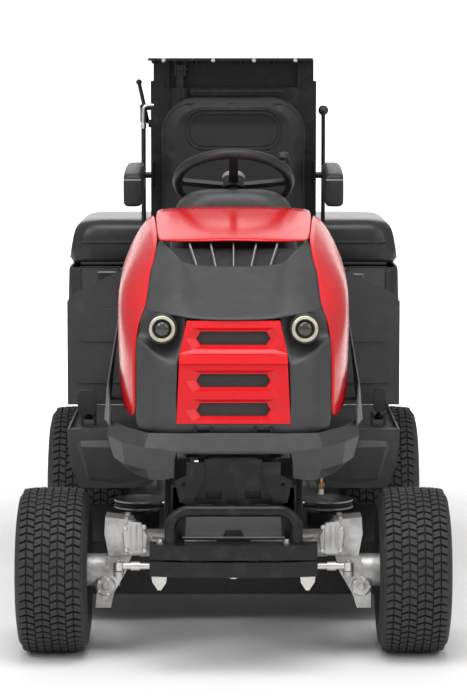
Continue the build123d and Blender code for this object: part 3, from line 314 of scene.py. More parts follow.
@dataclass(frozen=True)
class CastAlloy:
    """Sand cast or die cast light alloy."""

    name: str
    colour: Point
    roughness: float = 0.42
    grit: float = 420.0

    def make(self) -> bpy.types.Material:
        """Rough cast skin with darker pits, oil stains and brighter patches."""
        s = Shop(self.name)
        stain = s.noise(18.0, 6.0).ramp(0.42, 0.74)
        pits = s.cells(self.grit * 0.6).ramp(0.0, 0.35)
        colour = s.blend(stain, rgba(self.colour), rgba(shade(self.colour, 0.5)))
        colour = s.blend(s.noise(70.0, 4.0).ramp(0.55, 0.7) * 0.4, colour, rgba(shade(self.colour, 1.3)))
        height = s.noise(self.grit, 4.0) + pits * 0.5
        return s.surface(Base_Color=colour, Metallic=0.75, Roughness=self.roughness + stain * 0.18,
                         Normal=s.bump(height, 0.0008, 0.6))


@dataclass(frozen=True)
class BrightMetal:
    """Plated, ground or drawn metal."""

    name: str
    colour: Point
    roughness: float = 0.24

    def make(self) -> bpy.types.Material:
        """Drawing lines, a passivation tint and a few dull patches."""
        s = Shop(self.name)
        lines = s.noise(90.0, 3.0, s.stretched((22.0, 22.0, 1.0)))
        tint = s.noise(40.0, 4.0)
        colour = s.blend(tint, rgba(shade(self.colour, 0.78)), rgba(shade(self.colour, 1.15)))
        return s.surface(Base_Color=colour, Metallic=0.92, Roughness=self.roughness + lines * 0.14,
                         Normal=s.bump(lines, 0.00012, 0.4))


@dataclass(frozen=True)
class Rubber:
    """Moulded rubber with dust in patches."""

    name: str
    colour: Point
    dusty: float = 0.3

    def make(self) -> bpy.types.Material:
        """Fine mould texture, dry dust and darker worn patches."""
        s = Shop(self.name)
        dust = s.noise(24.0, 6.0).ramp(0.4, 0.8)
        folds = s.noise(45.0, 3.0).ramp(0.35, 0.6)
        colour = s.blend(s.noise(70.0, 4.0), rgba(shade(self.colour, 0.75)), rgba(shade(self.colour, 1.3)))
        colour = s.blend(dust * self.dusty * 0.35, colour, (0.16, 0.15, 0.135, 1.0))
        colour = s.blend(folds * 0.35, colour, rgba(shade(self.colour, 0.4)))
        height = s.noise(900.0, 3.0) + s.noise(140.0, 3.0) * 0.6
        return s.surface(Base_Color=colour, Roughness=0.62 + dust * 0.2, Normal=s.bump(height, 0.0003, 0.6))


@dataclass(frozen=True)
class Vinyl:
    """Grained seat cover."""

    name: str
    colour: Point

    def make(self) -> bpy.types.Material:
        """Leather cells, soft creases and patches of polish, which are less rough and painted lighter as a
        painted sheen.
        """
        s = Shop(self.name)
        cells = s.cells(520.0, "DISTANCE_TO_EDGE").ramp(0.0, 0.12)
        crease = s.noise(34.0, 3.0, s.stretched((1.0, 2.2, 0.8)))
        polish_and_painted_sheen = s.noise(9.0, 2.0).ramp(0.4, 0.7)
        colour = s.blend(cells, rgba(shade(self.colour, 0.6)), rgba(self.colour))
        # painted sheen: the polished patches are painted lighter in colour
        colour = s.blend(polish_and_painted_sheen * 0.25, colour, rgba(shade(self.colour, 1.5)))
        return s.surface(Base_Color=colour, Roughness=0.5 - polish_and_painted_sheen * 0.12, Specular_IOR_Level=0.3,
                         Normal=s.bump(cells * 0.5 + crease * 1.2, 0.0007, 0.5))


@dataclass(frozen=True)
class Perforated:
    """Sheet with rows of small holes, or a woven screen."""

    name: str
    colour: Point
    pitch: float

    def make(self) -> bpy.types.Material:
        """Two crossed sets of diagonal bands; the holes between them are not cut but painted near black as
        painted shade.
        """
        s = Shop(self.name)
        x, z = s.axis("X"), s.axis("Z")
        turns = 2 * math.pi / self.pitch
        one = s.node("ShaderNodeMath", {"operation": "SINE"}, {0: (x + z) * turns})
        two = s.node("ShaderNodeMath", {"operation": "SINE"}, {0: (x - z) * turns})
        metal = (one * two).abs().ramp(0.12, 0.3)
        grime = s.noise(60.0, 5.0)
        web = s.blend(grime, rgba(shade(self.colour, 0.7)), rgba(shade(self.colour, 1.3)))
        # painted shade: the holes get near-black colour for the dark seen through them
        return s.surface(Base_Color=s.blend(metal, web, (0.004, 0.004, 0.004, 1.0)),
                         Roughness=0.38 + metal * 0.4, Normal=s.bump(1 - metal, 0.0006, 0.8))


@dataclass(frozen=True)
class LampGlass:
    """Clear moulded lens over a dark reflector."""

    name: str

    def make(self) -> bpy.types.Material:
        """Smoked clear plastic with faint fluting and dust."""
        s = Shop(self.name)
        film = s.noise(120.0, 4.0).ramp(0.5, 0.8)
        return s.surface(Base_Color=s.blend(film * 0.4, (0.02, 0.019, 0.017, 1.0), (0.1, 0.09, 0.075, 1.0)),
                         Roughness=0.03 + film * 0.05, Coat_Weight=1.0, Coat_Roughness=0.02,
                         Normal=s.bump(s.wave("X", 60.0), 0.0002, 0.2))


class Finish(Enum):
    """Every finish on the mower."""

    RED = GlossPanel("red_panel", (0.7, 0.01, 0.016))
    GREY = GrainedPlastic("grey_panel", (0.044, 0.044, 0.045), 0.4)
    GREY_LIGHT = GrainedPlastic("light_grey_trim", (0.3, 0.3, 0.3), 0.4)
    BLACK_PLASTIC = GrainedPlastic("black_plastic", (0.016, 0.016, 0.017), 0.38)
    CATCHER = GrainedPlastic("catcher_plastic", (0.02, 0.02, 0.021), 0.27, 500.0, 0.0002)
    BLACK_STEEL = PaintedSteel("black_paint", (0.009, 0.009, 0.0095), 0.26)
    DECK_STEEL = PaintedSteel("deck_paint", (0.02, 0.02, 0.02), 0.42)
    GREY_STEEL = PaintedSteel("rim_paint", (0.5, 0.5, 0.49), 0.3)
    CAST = CastAlloy("cast_alloy", (0.62, 0.61, 0.6), 0.36)
    SILENCER = CastAlloy("silencer_steel", (0.12, 0.105, 0.09), 0.55, 200.0)
    ZINC = BrightMetal("zinc_plate", (0.68, 0.66, 0.62))
    BRIGHT_STEEL = BrightMetal("bright_steel", (0.72, 0.72, 0.72), 0.14)
    TRAY = PaintedSteel("tray_paint", (0.1, 0.1, 0.1), 0.36)
    BRASS = BrightMetal("brass_fitting", (0.52, 0.32, 0.15), 0.28)
    BLADE = BrightMetal("blade_steel", (0.34, 0.34, 0.33), 0.3)
    LAMP_RING = BrightMetal("lamp_ring", (0.66, 0.62, 0.48), 0.3)
    TYRE = Rubber("tyre", (0.021, 0.021, 0.022), 0.5)
    BELT = Rubber("belt_rubber", (0.014, 0.014, 0.014), 0.2)
    VINYL = Vinyl("seat_vinyl", (0.021, 0.021, 0.022))
    MESH = Perforated("black_mesh", (0.13, 0.13, 0.13), 0.0075)
    SCREEN = Perforated("catcher_screen", (0.2, 0.2, 0.2), 0.011)
    LENS = LampGlass("lamp_glass")
    TANK = GrainedPlastic("tank_plastic", (0.6, 0.58, 0.5), 0.4)


class Palette:
    """Makes each finish once."""

    def __init__(self) -> None:
        """Start with no materials made."""
        self.made: dict[Finish, bpy.types.Material] = {}

    def get(self, finish: Finish) -> bpy.types.Material:
        """The material of a finish, made on first use."""
        if finish not in self.made:
            self.made[finish] = finish.value.make()
        return self.made[finish]


PALETTE = Palette()


# ------------------------------------------------------------------ mesh tools
def hold(name: str, mesh: bmesh.types.BMesh, finish: Finish, smooth: bool = True) -> bpy.types.Object:
    """Turn a bmesh into an object of the scene.

    Args:
        name: the piece's name.
        mesh: its geometry, freed here.
        finish: its material.
        smooth: whether faces shade smoothly.

    Returns:
        The new object.
    """
    bmesh.ops.recalc_face_normals(mesh, faces=mesh.faces)
    data = bpy.data.meshes.new(name)
    mesh.to_mesh(data)
    mesh.free()
    data.materials.append(PALETTE.get(finish))
    for polygon in data.polygons:
        polygon.use_smooth = smooth
    piece = bpy.data.objects.new(name, data)
    bpy.context.collection.objects.link(piece)
    return piece


def soften(piece: bpy.types.Object, width: float, segments: int = 2, angle: float = 35.0) -> bpy.types.Object:
    """Round the sharp edges of a piece by a width in millimetres."""
    bevel = piece.modifiers.new("edges", "BEVEL")
    bevel.width = width * MM
    bevel.segments = segments
    bevel.limit_method = "ANGLE"
    bevel.angle_limit = math.radians(angle)
    bevel.harden_normals = False
    return piece


def refine(piece: bpy.types.Object, levels: int = 2) -> bpy.types.Object:
    """Give a piece a subdivision surface."""
    subsurf = piece.modifiers.new("smooth", "SUBSURF")
    subsurf.levels = levels
    subsurf.render_levels = levels
    return piece


def thicken(piece: bpy.types.Object, wall: float, offset: float = -1.0) -> bpy.types.Object:
    """Give a sheet a wall in millimetres, inwards unless told otherwise."""
    solid = piece.modifiers.new("wall", "SOLIDIFY")
    solid.thickness = wall * MM
    solid.offset = offset
    return piece


def patch(name: str, nets: Sequence[Sequence[Sequence[Point]]], finish: Finish, wall: float = 3.0,
          levels: int = 2, both: bool = True, creases: Sequence[int] = (),
          sewn: bool = False) -> bpy.types.Object:
    """A sheet through one or more nets of points.

    Args:
        name: the piece's name.
        nets: nets of equal rows, each row from the centre outwards.
        finish: its material.
        wall: sheet thickness in millimetres.
        levels: subdivision levels.
        both: whether the other side of the mower gets a copy.
        creases: rows of the last net whose line stays sharp.
        sewn: whether points in the same place are shared.

    Returns:
        The new piece.
    """
    mesh = bmesh.new()
    crease = mesh.edges.layers.float.new("crease_edge")
    for s in (1, -1) if both else (1,):
        for rows in nets:
            net = [[mesh.verts.new(at(s * x, d, z)) for x, d, z in row] for row in rows]
            for a, b in zip(net, net[1:]):
                for n in range(len(a) - 1):
                    mesh.faces.new((a[n], a[n + 1], b[n + 1], b[n]))
        for index in creases:
            for a, b in zip(net[index], net[index][1:]):
                mesh.edges.get((a, b))[crease] = CREASE
    if sewn:
        bmesh.ops.remove_doubles(mesh, verts=mesh.verts, dist=SEW_DISTANCE)
    piece = refine(hold(name, mesh, finish), levels)
    return thicken(piece, wall)


def slab(name: str, outline: Sequence[Point], push: Point, finish: Finish, bevel: float = 2.0,
         both: bool = False) -> bpy.types.Object:
    """A flat outline pushed out into a solid.

    Args:
        name: the piece's name.
        outline: corners in order, in one plane.
        push: displacement in millimetres from the first face to the last.
        finish: its material.
        bevel: edge rounding in millimetres.
        both: whether the other side gets a copy.

    Returns:
        The new piece.
    """
    mesh = bmesh.new()
    shift = Vector(push) * MM
    for s in (1, -1) if both else (1,):
        low = [mesh.verts.new(at(s * x, d, z)) for x, d, z in outline]
        move = Vector((s * shift.x, shift.y, shift.z))
        high = [mesh.verts.new(v.co + move) for v in low]
        mesh.faces.new(low)
        mesh.faces.new(list(reversed(high)))
        for n in range(len(low)):
            m = (n + 1) % len(low)
            mesh.faces.new((low[n], low[m], high[m], high[n]))
    return soften(hold(name, mesh, finish, False), bevel)


def rings(name: str, loops: Sequence[Sequence[Vector]], finish: Finish, ends: bool = True,
          smooth: bool = True) -> bpy.types.Object:
    """A skin through closed loops of equal length.

    Args:
        name: the piece's name.
        loops: closed loops of places in metres.
        finish: its material.
        ends: whether the first and last loops are filled.
        smooth: whether faces shade smoothly.

    Returns:
        The new piece.
    """
    mesh = bmesh.new()
    net = [[mesh.verts.new(p) for p in loop] for loop in loops]
    for a, b in zip(net, net[1:]):
        for n in range(len(a)):
            m = (n + 1) % len(a)
            mesh.faces.new((a[n], a[m], b[m], b[n]))
    if ends:
        mesh.faces.new(list(reversed(net[0])))
        mesh.faces.new(net[-1])
    return hold(name, mesh, finish, smooth)


def swept(name: str, path: Sequence[Point], radius: float, finish: Finish, sides: int = 16,
          ease: int = 6, closed: bool = False) -> bpy.types.Object:
    """A round bar or hose along a smooth line.

    Args:
        name: the piece's name.
        path: points on the line.
        radius: in millimetres.
        finish: its material.
        sides: facets round the bar.
        ease: points added between each two, zero for straight runs.
        closed: whether the line is a loop.

    Returns:
        The new piece.
    """
    line = smooth_line([at(*p) for p in path], ease, closed)
    loops = []
    up = Vector((0.31, 0.17, 0.93)).normalized()
    count = len(line)
    for n, place in enumerate(line):
        ahead = line[(n + 1) % count] if closed else line[min(n + 1, count - 1)]
        behind = line[n - 1] if closed or n else line[0]
        along = (ahead - behind).normalized()
        side = along.cross(up)
        side = side.normalized() if side.length > 0.05 else along.orthogonal().normalized()
        up = side.cross(along).normalized()
        turn = [2 * math.pi * k / sides for k in range(sides)]
        loops.append([place + (side * math.cos(t) + up * math.sin(t)) * radius * MM for t in turn])
    if closed:
        loops.append(loops[0])
    piece = rings(name, loops, finish, not closed)
    if closed:
        weld = piece.modifiers.new("weld", "WELD")
        weld.merge_threshold = 0.0002
    return piece


def smooth_line(points: Sequence[Vector], ease: int, closed: bool) -> list[Vector]:
    """Points along a curve through the given ones.

    Args:
        points: places to pass through.
        ease: points added between each two.
        closed: whether the last joins the first.

    Returns:
        The denser line.
    """
    if not ease:
        return list(points)
    count = len(points)
    spans = count if closed else count - 1
    line: list[Vector] = []
    for n in range(spans):
        b, c = points[n], points[(n + 1) % count]
        a = points[n - 1] if closed or n else b
        e = points[(n + 2) % count] if closed or n + 2 < count else c
        for k in range(ease + 1):
            t = k / (ease + 1)
            line.append(0.5 * ((2 * b) + (c - a) * t + (2 * a - 5 * b + 4 * c - e) * t * t
                               + (3 * b - a - 3 * c + e) * t ** 3))
    if not closed:
        line.append(points[-1])
    return line


def turned(name: str, profile: Sequence[Flat], centre: Point, axis: Point, finish: Finish,
           steps: int = 48, bevel: float = 0.0) -> bpy.types.Object:
    """A closed profile turned about an axis.

    Args:
        name: the piece's name.
        profile: (along the axis, radius) pairs in millimetres, closed from last to first.
        centre: the axis's origin.
        axis: its direction.
        finish: the material.
        steps: facets round the turn.
        bevel: rounding of sharp edges in millimetres.

    Returns:
        The new piece.
    """
    along = Vector(axis).normalized()
    side = along.orthogonal().normalized()
    other = along.cross(side)
    middle = at(*centre)
    mesh = bmesh.new()
    net = []
    for a, r in profile:
        turn = [2 * math.pi * k / steps for k in range(steps)]
        net.append([mesh.verts.new(middle + along * a * MM
                                   + (side * math.cos(t) + other * math.sin(t)) * r * MM)
                    for t in turn])
    for n in range(len(net)):
        a, b = net[n], net[(n + 1) % len(net)]
        for k in range(steps):
            m = (k + 1) % steps
            mesh.faces.new((a[k], a[m], b[m], b[k]))
    bmesh.ops.remove_doubles(mesh, verts=mesh.verts, dist=0.00002)
    piece = hold(name, mesh, finish)
    if bevel:
        soften(piece, bevel, 3, 28.0)
    return piece


def joined(name: str, pieces: Sequence[bpy.types.Object]) -> bpy.types.Object:
    """Several pieces made into one, with their modifiers applied.

    Args:
        name: the name of the result.
        pieces: what to join.

    Returns:
        The single piece.
    """
    graph = bpy.context.evaluated_depsgraph_get()
    mesh = bmesh.new()
    slots: list[bpy.types.Material] = []
    for piece in pieces:
        solid = bpy.data.meshes.new_from_object(piece.evaluated_get(graph))
        solid.transform(piece.matrix_world)
        start = len(mesh.faces)
        for material in solid.materials:
            if material not in slots:
                slots.append(material)
        order = [slots.index(m) for m in solid.materials]
        mesh.from_mesh(solid)
        mesh.faces.ensure_lookup_table()
        for face in mesh.faces[start:]:
            face.material_index = order[min(face.material_index, len(order) - 1)]
        bpy.data.meshes.remove(solid)
    for piece in pieces:
        bpy.data.objects.remove(piece)
    data = bpy.data.meshes.new(name)
    mesh.to_mesh(data)
    mesh.free()
    for material in slots:
        data.materials.append(material)
    result = bpy.data.objects.new(name, data)
    bpy.context.collection.objects.link(result)
    return result


@dataclass
class SubAssembly:
    """Common work of every sub-assembly: placing pieces and dressing nodes."""

    body: str = "chassis"

    def fit(self, piece: bpy.types.Object, slot: str, *nodes: str, body: str = "") -> bpy.types.Object:
        """Make a piece ride on its body and stand for CAD nodes.

        Args:
            piece: the finished piece.
            slot: the record's material slot; not used.
            *nodes: CAD nodes that it replaces.
            body: the body it rides on, this sub-assembly's own if left out.

        Returns:
            The same piece.
        """
        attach(piece, body or self.body)
        if nodes:
            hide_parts(*nodes)
        log.info("%s rides on %s", piece.name, body or self.body)
        return piece

    def dress(self, finish: Finish, *nodes: str) -> None:
        """Give CAD nodes that stay visible their real finish."""
        for node in nodes:
            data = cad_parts[node].data
            data.materials.clear()
            data.materials.append(PALETTE.get(finish))
            for polygon in data.polygons:
                polygon.material_index = 0
            log.info("%s dressed in %s", node, finish.name)


# ------------------------------------------------------------------ hood and nose
@dataclass
class Hood(SubAssembly):
    """Red cover, dark nose with its louvre, red grille and the two lamps."""

    body: str = "hood"
    wall: float = 3.0
    lamp_x: float = 171.0
    lamp_z: float = 814.0
    lamp_r: float = 31.0
    grille_low: float = 588.0
    flange_low: float = 561.0
    ribs: tuple[Flat, ...] = ((-110, -89), (-57, -43), (0, 0), (57, 43), (110, 89))

    def build(self) -> None:
        """Build and fit every piece of the hood."""
        self.cover()
        self.nose()
        self.grille()
        self.lamps()

    def cover(self) -> None:
        """Red top panel with a soft crown, and the two flanks that wrap down to pointed tips."""
        top = [[(0, 156, 1008), (60, 159, 1006), (120, 171, 1004), (165, 192, 1004), (186, 206, 1003)],
               [(0, 250, 1028), (65, 250, 1026), (130, 250, 1020), (172, 252, 1014), (193, 254, 1011)],
               [(0, 400, 1054), (66, 400, 1051), (132, 400, 1046), (178, 400, 1040), (200, 400, 1037)],
               [(0, 558, 1071), (68, 558, 1070), (136, 558, 1068), (184, 558, 1064), (205, 558, 1061)]]
        flank = [[(216, -74, 857), (231, -90, 828), (237, -104, 780), (239, -108, 720), (239, -108, 650),
                  (238, -108, 592)],
                 [(212, -40, 871), (241, -42, 845), (258, -44, 800), (263, -46, 740), (262, -48, 660),
                  (258, -50, 597)],
                 [(204, 60, 945), (249, 60, 905), (281, 60, 848), (283, 60, 770), (281, 60, 690),
                  (279, 60, 618)],
                 [(189, 206, 1001), (246, 204, 954), (291, 202, 893), (294, 202, 830), (291, 202, 745),
                  (288, 202, 664)],
                 [(203, 380, 1035), (252, 380, 985), (293, 380, 905), (295, 380, 850), (293, 380, 780),
                  (291, 380, 718)],
                 [(208, 558, 1060), (255, 558, 1008), (295, 558, 913), (297, 558, 870), (295, 558, 820),
                  (292, 558, 770)]]
        made = [patch("top_panel", [top], Finish.RED, self.wall, 2, sewn=True),
                patch("flank_panels", [flank], Finish.RED, self.wall, 2)]
        self.fit(joined("hood_shell", made), "red_panel", "hood_cover")

    def nose(self) -> None:
        """Dark nose: a dished top with two creases, the louvre, and a face with a pocket at each lamp."""
        brow = [(0, -155, 836), (60, -153, 837), (112, -146, 840), (150, -131, 845), (188, -107, 852),
                (214, -78, 856)]
        top = [brow,
               [(0, -146, 844), (60, -144, 845), (112, -136, 849), (150, -121, 854), (188, -98, 860),
                (213, -72, 864)],
               [(0, -95, 862), (66, -95, 863), (106, -93, 872), (132, -88, 888), (184, -68, 888),
                (211, -40, 873)],
               [(0, -20, 902), (72, -20, 903), (108, -17, 912), (130, -8, 934), (178, 12, 932),
                (206, 44, 934)],
               [(0, 40, 934), (82, 40, 935), (116, 43, 944), (134, 54, 966), (170, 80, 966), (201, 110, 958)],
               [(0, 66, 948), (90, 66, 949), (126, 70, 957), (140, 84, 976), (168, 122, 983),
                (195, 150, 978)]]
        side = [[(126, 70, 957), (140, 84, 976), (168, 122, 983), (195, 150, 978)],
                [(156, 124, 982), (161, 130, 992), (178, 160, 994), (191, 178, 990)],
                [(182, 178, 1003), (183, 182, 1003), (185, 190, 1003), (187, 204, 1001)]]
        low = self.grille_low
        face = [[(112, -146, 840), (150, -131, 845), (176, -114, 849), (197, -98, 854), (214, -78, 856)],
                [(114, -132, 838), (150, -112, 838), (178, -98, 840), (202, -86, 842), (224, -84, 840)],
                [(118, -132, 806), (152, -106, 802), (184, -92, 800), (210, -84, 802), (231, -88, 806)],
                [(126, -144, 762), (154, -118, 764), (184, -100, 776), (210, -92, 788), (233, -92, 792)],
                [(134, -168, 728), (160, -162, 736), (188, -148, 755), (212, -130, 774), (235, -106, 783)],
                [(135, -172, 716), (162, -167, 724), (190, -154, 738), (214, -134, 752), (236, -108, 758)],
                [(137, -173, 650), (163, -169, 650), (190, -158, 650), (214, -138, 650), (236, -110, 650)],
                [(138, -172, low), (164, -168, low), (190, -158, low + 2), (214, -138, low + 4),
                 (236, -109, 594)]]
        edge = [(0, -171, 588), (70, -171, 588), *face[-1]]
        flange = [edge, [(x * 0.985, d + 9, self.flange_low) for x, d, _ in edge]]
        piece = patch("nose_shell", [top, side, flange, face], Finish.GREY, self.wall, 2, creases=(0, 4),
                      sewn=True)
        # painted shade: a black floor closes the louvre opening and stands for the dark inside it
        painted_shade_trough = slab("louvre_painted_shade_floor", [(-176, 176, 985), (176, 176, 985), (132, 66, 922), (-132, 66, 922)],
                      (0, 0, -3), Finish.BLACK_PLASTIC, 0.5)
        ribs = [slab("rib", [(a - 1.6, 176, 999), (a + 1.6, 176, 999), (b + 1.6, 68, 946),
                             (b - 1.6, 68, 946)],
                     (0, 2, -13), Finish.GREY_LIGHT, 0.8) for a, b in self.ribs]
        back = slab("nose_back", [(-205, -84, 600), (205, -84, 600), (205, -84, 845), (-205, -84, 845)],
                    (0, 3, 0), Finish.BLACK_PLASTIC, 0.5)
        self.fit(joined("nose_front", [piece, painted_shade_trough, back, *ribs]), "grey_panel", "nose_panel")

    def grille(self) -> None:
        """Red centre panel with three bevelled hexagonal recesses, a raised band and the mesh behind."""
        mesh = bmesh.new()
        # each panel: (z, half width, d) at its top and bottom edges, then the slot's middle height
        panels = [((833, 112, -150), (756, 129, -163), 791), ((729, 130, -172), (662, 133, -173), 691),
                  ((662, 133, -173), (588, 136, -173), 621)]
        for (z1, w1, d1), (z0, w0, d0), zc in panels:
            wc = (w1 + w0) / 2
            dc = (d1 + d0) / 2
            sheet = [(-wc, dc, zc), (-w1, d1, z1), (w1, d1, z1), (wc, dc, zc), (w0, d0, z0), (-w0, d0, z0)]
            loops = [sheet, self.hexagon(114, 26, zc, dc), self.hexagon(93, 19, zc, dc + 9),
                     self.hexagon(89, 16.5, zc, dc + 9.5), self.hexagon(88, 15.5, zc, dc + 17)]
            net = [[mesh.verts.new(at(*p)) for p in loop] for loop in loops]
            for a, b in zip(net, net[1:]):
                for n in range(6):
                    m = (n + 1) % 6
                    mesh.faces.new((a[n], a[m], b[m], b[n]))
        band = [(129, -163, 756), (129, -171, 752), (130, -177, 733), (130, -172, 729)]
        for (xa, da, za), (xb, db, zb) in zip(band, band[1:]):
            mesh.faces.new([mesh.verts.new(at(*p)) for p in ((-xa, da, za), (xa, da, za), (xb, db, zb),
                                                             (-xb, db, zb))])
        edge = [(112, -150, 833), (129, -163, 756), (130, -172, 729), (133, -173, 662), (136, -173, 588)]
        for s in (-1, 1):
            for (xa, da, za), (xb, db, zb) in zip(edge, edge[1:]):
                mesh.faces.new([mesh.verts.new(at(*p)) for p in
                                ((s * xa, da, za), (s * xb, db, zb), (s * xb, db + 16, zb),
                                 (s * xa, da + 16, za))])
        for (x, d, z) in (edge[0], edge[-1]):
            mesh.faces.new([mesh.verts.new(at(*p)) for p in ((-x, d, z), (x, d, z), (x, d + 16, z),
                                                             (-x, d + 16, z))])
        bmesh.ops.remove_doubles(mesh, verts=mesh.verts, dist=0.0003)
        piece = soften(thicken(hold("grille_face", mesh, Finish.RED, False), 2.5), 1.3, 3, 20)
        self.fit(piece, "red_panel", "grille")
        screens = [slab("screen", self.hexagon(92, 20, zc, dc), (0, 1.5, 0), Finish.MESH, 0.3)
                   for zc, dc in ((791, -138), (691, -154), (621, -155))]
        self.fit(joined("grille_screen", screens), "black_mesh", "grille_mesh")

    def hexagon(self, half: float, tall: float, z: float, d: float) -> list[Point]:
        """Six corners of a long hexagon, from its left tip over the top.

        Args:
            half: half its width in millimetres.
            tall: half its height.
            z: height of its middle.
            d: distance behind the front axle.

        Returns:
            The corners in order.
        """
        flat = half - tall * 0.62
        return [(-half, d, z), (-flat, d, z + tall), (flat, d, z + tall), (half, d, z), (flat, d, z - tall),
                (-flat, d, z - tall)]

    def lamps(self) -> None:
        """Deep black bezel, pale ring, dark reflector and a domed projector lens on each side."""
        made = []
        r = self.lamp_r
        for s in (-1, 1):
            c = (s * self.lamp_x, -146, self.lamp_z)
            made.append(turned("bezel", [(-6, r + 6), (-9, r + 3), (-8, r + 1), (30, r + 1), (60, r - 4),
                                         (60, r + 2),
                                         (20, r + 6)], c, (0, 1, 0), Finish.BLACK_PLASTIC, 56, 0.6))
            made.append(turned("ring", [(-8, r + 1), (-10, r - 2), (-9, r - 7), (-4, r - 9), (2, r - 9),
                                        (2, r + 1)],
                               c, (0, 1, 0), Finish.LAMP_RING, 56, 0.8))
            made.append(turned("bowl", [(-4, r - 9), (10, r - 16), (20, 8), (22, 8), (24, r - 9)], c,
                               (0, 1, 0),
                               Finish.BLACK_PLASTIC, 40))
            dome = [(-3 - 9 * math.cos(t), (r - 13) * math.sin(t)) for t in (0.0, 0.3, 0.6, 0.9, 1.2, 1.5)]
            made.append(turned("lens", dome + [(14, r - 13)], c, (0, 1, 0), Finish.LENS, 48))
        self.fit(joined("lamps", made), "lamp_glass", "headlamps")


# ------------------------------------------------------------------ wheels
@dataclass
class Wheel(SubAssembly):
    """Turf tyre with rows of slanted blocks over a crowned carcass, on its pressed rim."""

    side: str = "left"
    end: str = "front"
    x: float = 441.5
    d: float = 0.0
    radius: float = 203.0
    width: float = 175.0
    seat_r: float = 104.0
    block: float = 6.5
    columns: int = 8
    pitch: float = 21.0

    def build(self) -> None:
        """Build the tyre and dress the rim."""
        self.body = f"{self.end}_wheel_{self.side}"
        half = self.width / 2
        tread = half * 0.86
        core = self.radius - self.block
        wall = [(tread, core - 5), (half * 0.95, core - 16), (half * 0.995, core - 40), (half, core - 52),
                (half * 0.985, core - 58), (half * 0.96, self.seat_r + 22), (half * 0.87, self.seat_r + 7),
                (half * 0.8, self.seat_r)]
        crown = [(-tread * 0.5, core - 1), (0.0, core), (tread * 0.5, core - 1)]
        profile = [(-a, r) for a, r in reversed(wall)] + crown + wall
        profile += [(half * 0.74, self.seat_r + 8), (half * 0.7, core - 20), (-half * 0.7, core - 20),
                    (-half * 0.74, self.seat_r + 8)]
        centre = (self.x if self.side == "left" else -self.x, self.d, self.radius)
        carcass = turned("carcass", profile, centre, (1, 0, 0), Finish.TYRE, 96)
        tyre = joined(f"{self.end}_tyre_tread_{self.side}", [carcass, self.blocks(centre, tread, core)])
        self.fit(tyre, "tyre", f"{self.end}_tyre_{self.side}")
        self.dress(Finish.GREY_STEEL, f"{self.end}_rim_{self.side}")

    def blocks(self, centre: Point, tread: float, core: float) -> bpy.types.Object:
        """Tread blocks in columns that slant alternately, so that their gaps run in waves.

        Args:
            centre: middle of the tyre.
            tread: half width of the tread in millimetres.
            core: radius of the carcass under the blocks.

        Returns:
            All blocks as one piece.
        """
        mesh = bmesh.new()
        rows = round(2 * math.pi * self.radius / self.pitch)
        column = 2 * tread / self.columns
        turn = 2 * math.pi / rows
        middle = at(*centre)
        for c in range(self.columns):
            a = -tread + (c + 0.5) * column
            slant = 0.15 if c % 2 else -0.15
            for n in range(rows):
                t = (n + (0.5 if (c // 2) % 2 else 0.0)) * turn
                self.block_at(mesh, middle, a, t, (column * 0.46, turn * 0.39, slant * turn, core, tread))
        return hold("blocks", mesh, Finish.TYRE, False)

    def block_at(self, mesh: bmesh.types.BMesh, middle: Vector, a: float, t: float,
                 form: tuple[float, float, float, float, float]) -> None:
        """Add one tread block.

        Args:
            mesh: the mesh to add to.
            middle: centre of the tyre in metres.
            a: place across the tread in millimetres.
            t: place round the tyre in radians.
            form: half width, half length in radians, slant, carcass radius and half tread width.
        """
        half_a, half_t, slant, core, tread = form
        rings_of_four = []
        for level, shrink in ((-3.0, 1.0), (self.block - 0.8, 0.93), (self.block, 0.82)):
            four = []
            for u, v in ((-1, -1), (1, -1), (1, 1), (-1, 1)):
                across = a + u * half_a * shrink
                angle = t + v * half_t * shrink + u * slant
                fall = 5.0 * max(0.0, abs(across) / tread) ** 4
                r = (core + level - fall) * MM
                four.append(mesh.verts.new(middle + Vector((across * MM, r * math.cos(angle),
                                                            r * math.sin(angle)))))
            rings_of_four.append(four)
        for low, high in zip(rings_of_four, rings_of_four[1:]):
            for n in range(4):
                mesh.faces.new((low[n], low[(n + 1) % 4], high[(n + 1) % 4], high[n]))
        mesh.faces.new(rings_of_four[-1])


@dataclass
class Wheels(SubAssembly):
    """All four wheels."""

    def build(self) -> None:
        """Front and rear wheels on both sides."""
        for side in ("left", "right"):
            Wheel(side=side).build()
            Wheel(side=side, end="rear", x=414.0, d=1200.0, radius=228.5, width=230.0, columns=10,
                  pitch=22.0).build()


# ------------------------------------------------------------------ skirt and lower panels
@dataclass
class Skirt(SubAssembly):
    """Wrap-round skirt in flat facets, notched in the middle."""

    top: float = 566.0
    low: float = 453.0
    notch: float = 136.0

    def build(self) -> None:
        """Build the skirt and dress the panels beside it."""
        middle = [[(0, -179, self.top + 1), (60, -179, self.top + 1), (118, -179, self.top),
                   (self.notch, -177, self.top)],
                  [(0, -199, 524), (60, -199, 524), (108, -199, 524), (self.notch, -198, 524)],
                  [(0, -197, 518), (60, -197, 518), (108, -197, 518), (self.notch, -197, 518)]]
        wing = [[(self.notch, -177, self.top), (160, -174, self.top), (204, -166, self.top),
                 (262, -73, self.top + 2),
                 (306, 17, self.top + 8), (308, 118, self.top + 10)],
                [(self.notch, -198, 524), (186, -191, 530), (214, -182, 532), (272, -90, 534), (309, -2, 536),
                 (309, 118, 538)],
                [(self.notch + 5, -196, 500), (178, -191, 482), (209, -182, 478), (264, -96, 480),
                 (294, -12, 484),
                 (296, 118, 486)],
                [(self.notch + 6, -190, self.low + 6), (172, -184, self.low), (202, -174, self.low),
                 (244, -96, self.low + 4), (268, -14, self.low + 10), (270, 118, self.low + 12)]]
        piece = patch("skirt", [middle, wing], Finish.GREY, 3.5, 0, sewn=True)
        for polygon in piece.data.polygons:
            polygon.use_smooth = False
        self.fit(soften(piece, 6.0, 5, 6.0), "grey_panel", "front_skirt")
        self.dress(Finish.GREY, "side_panels")


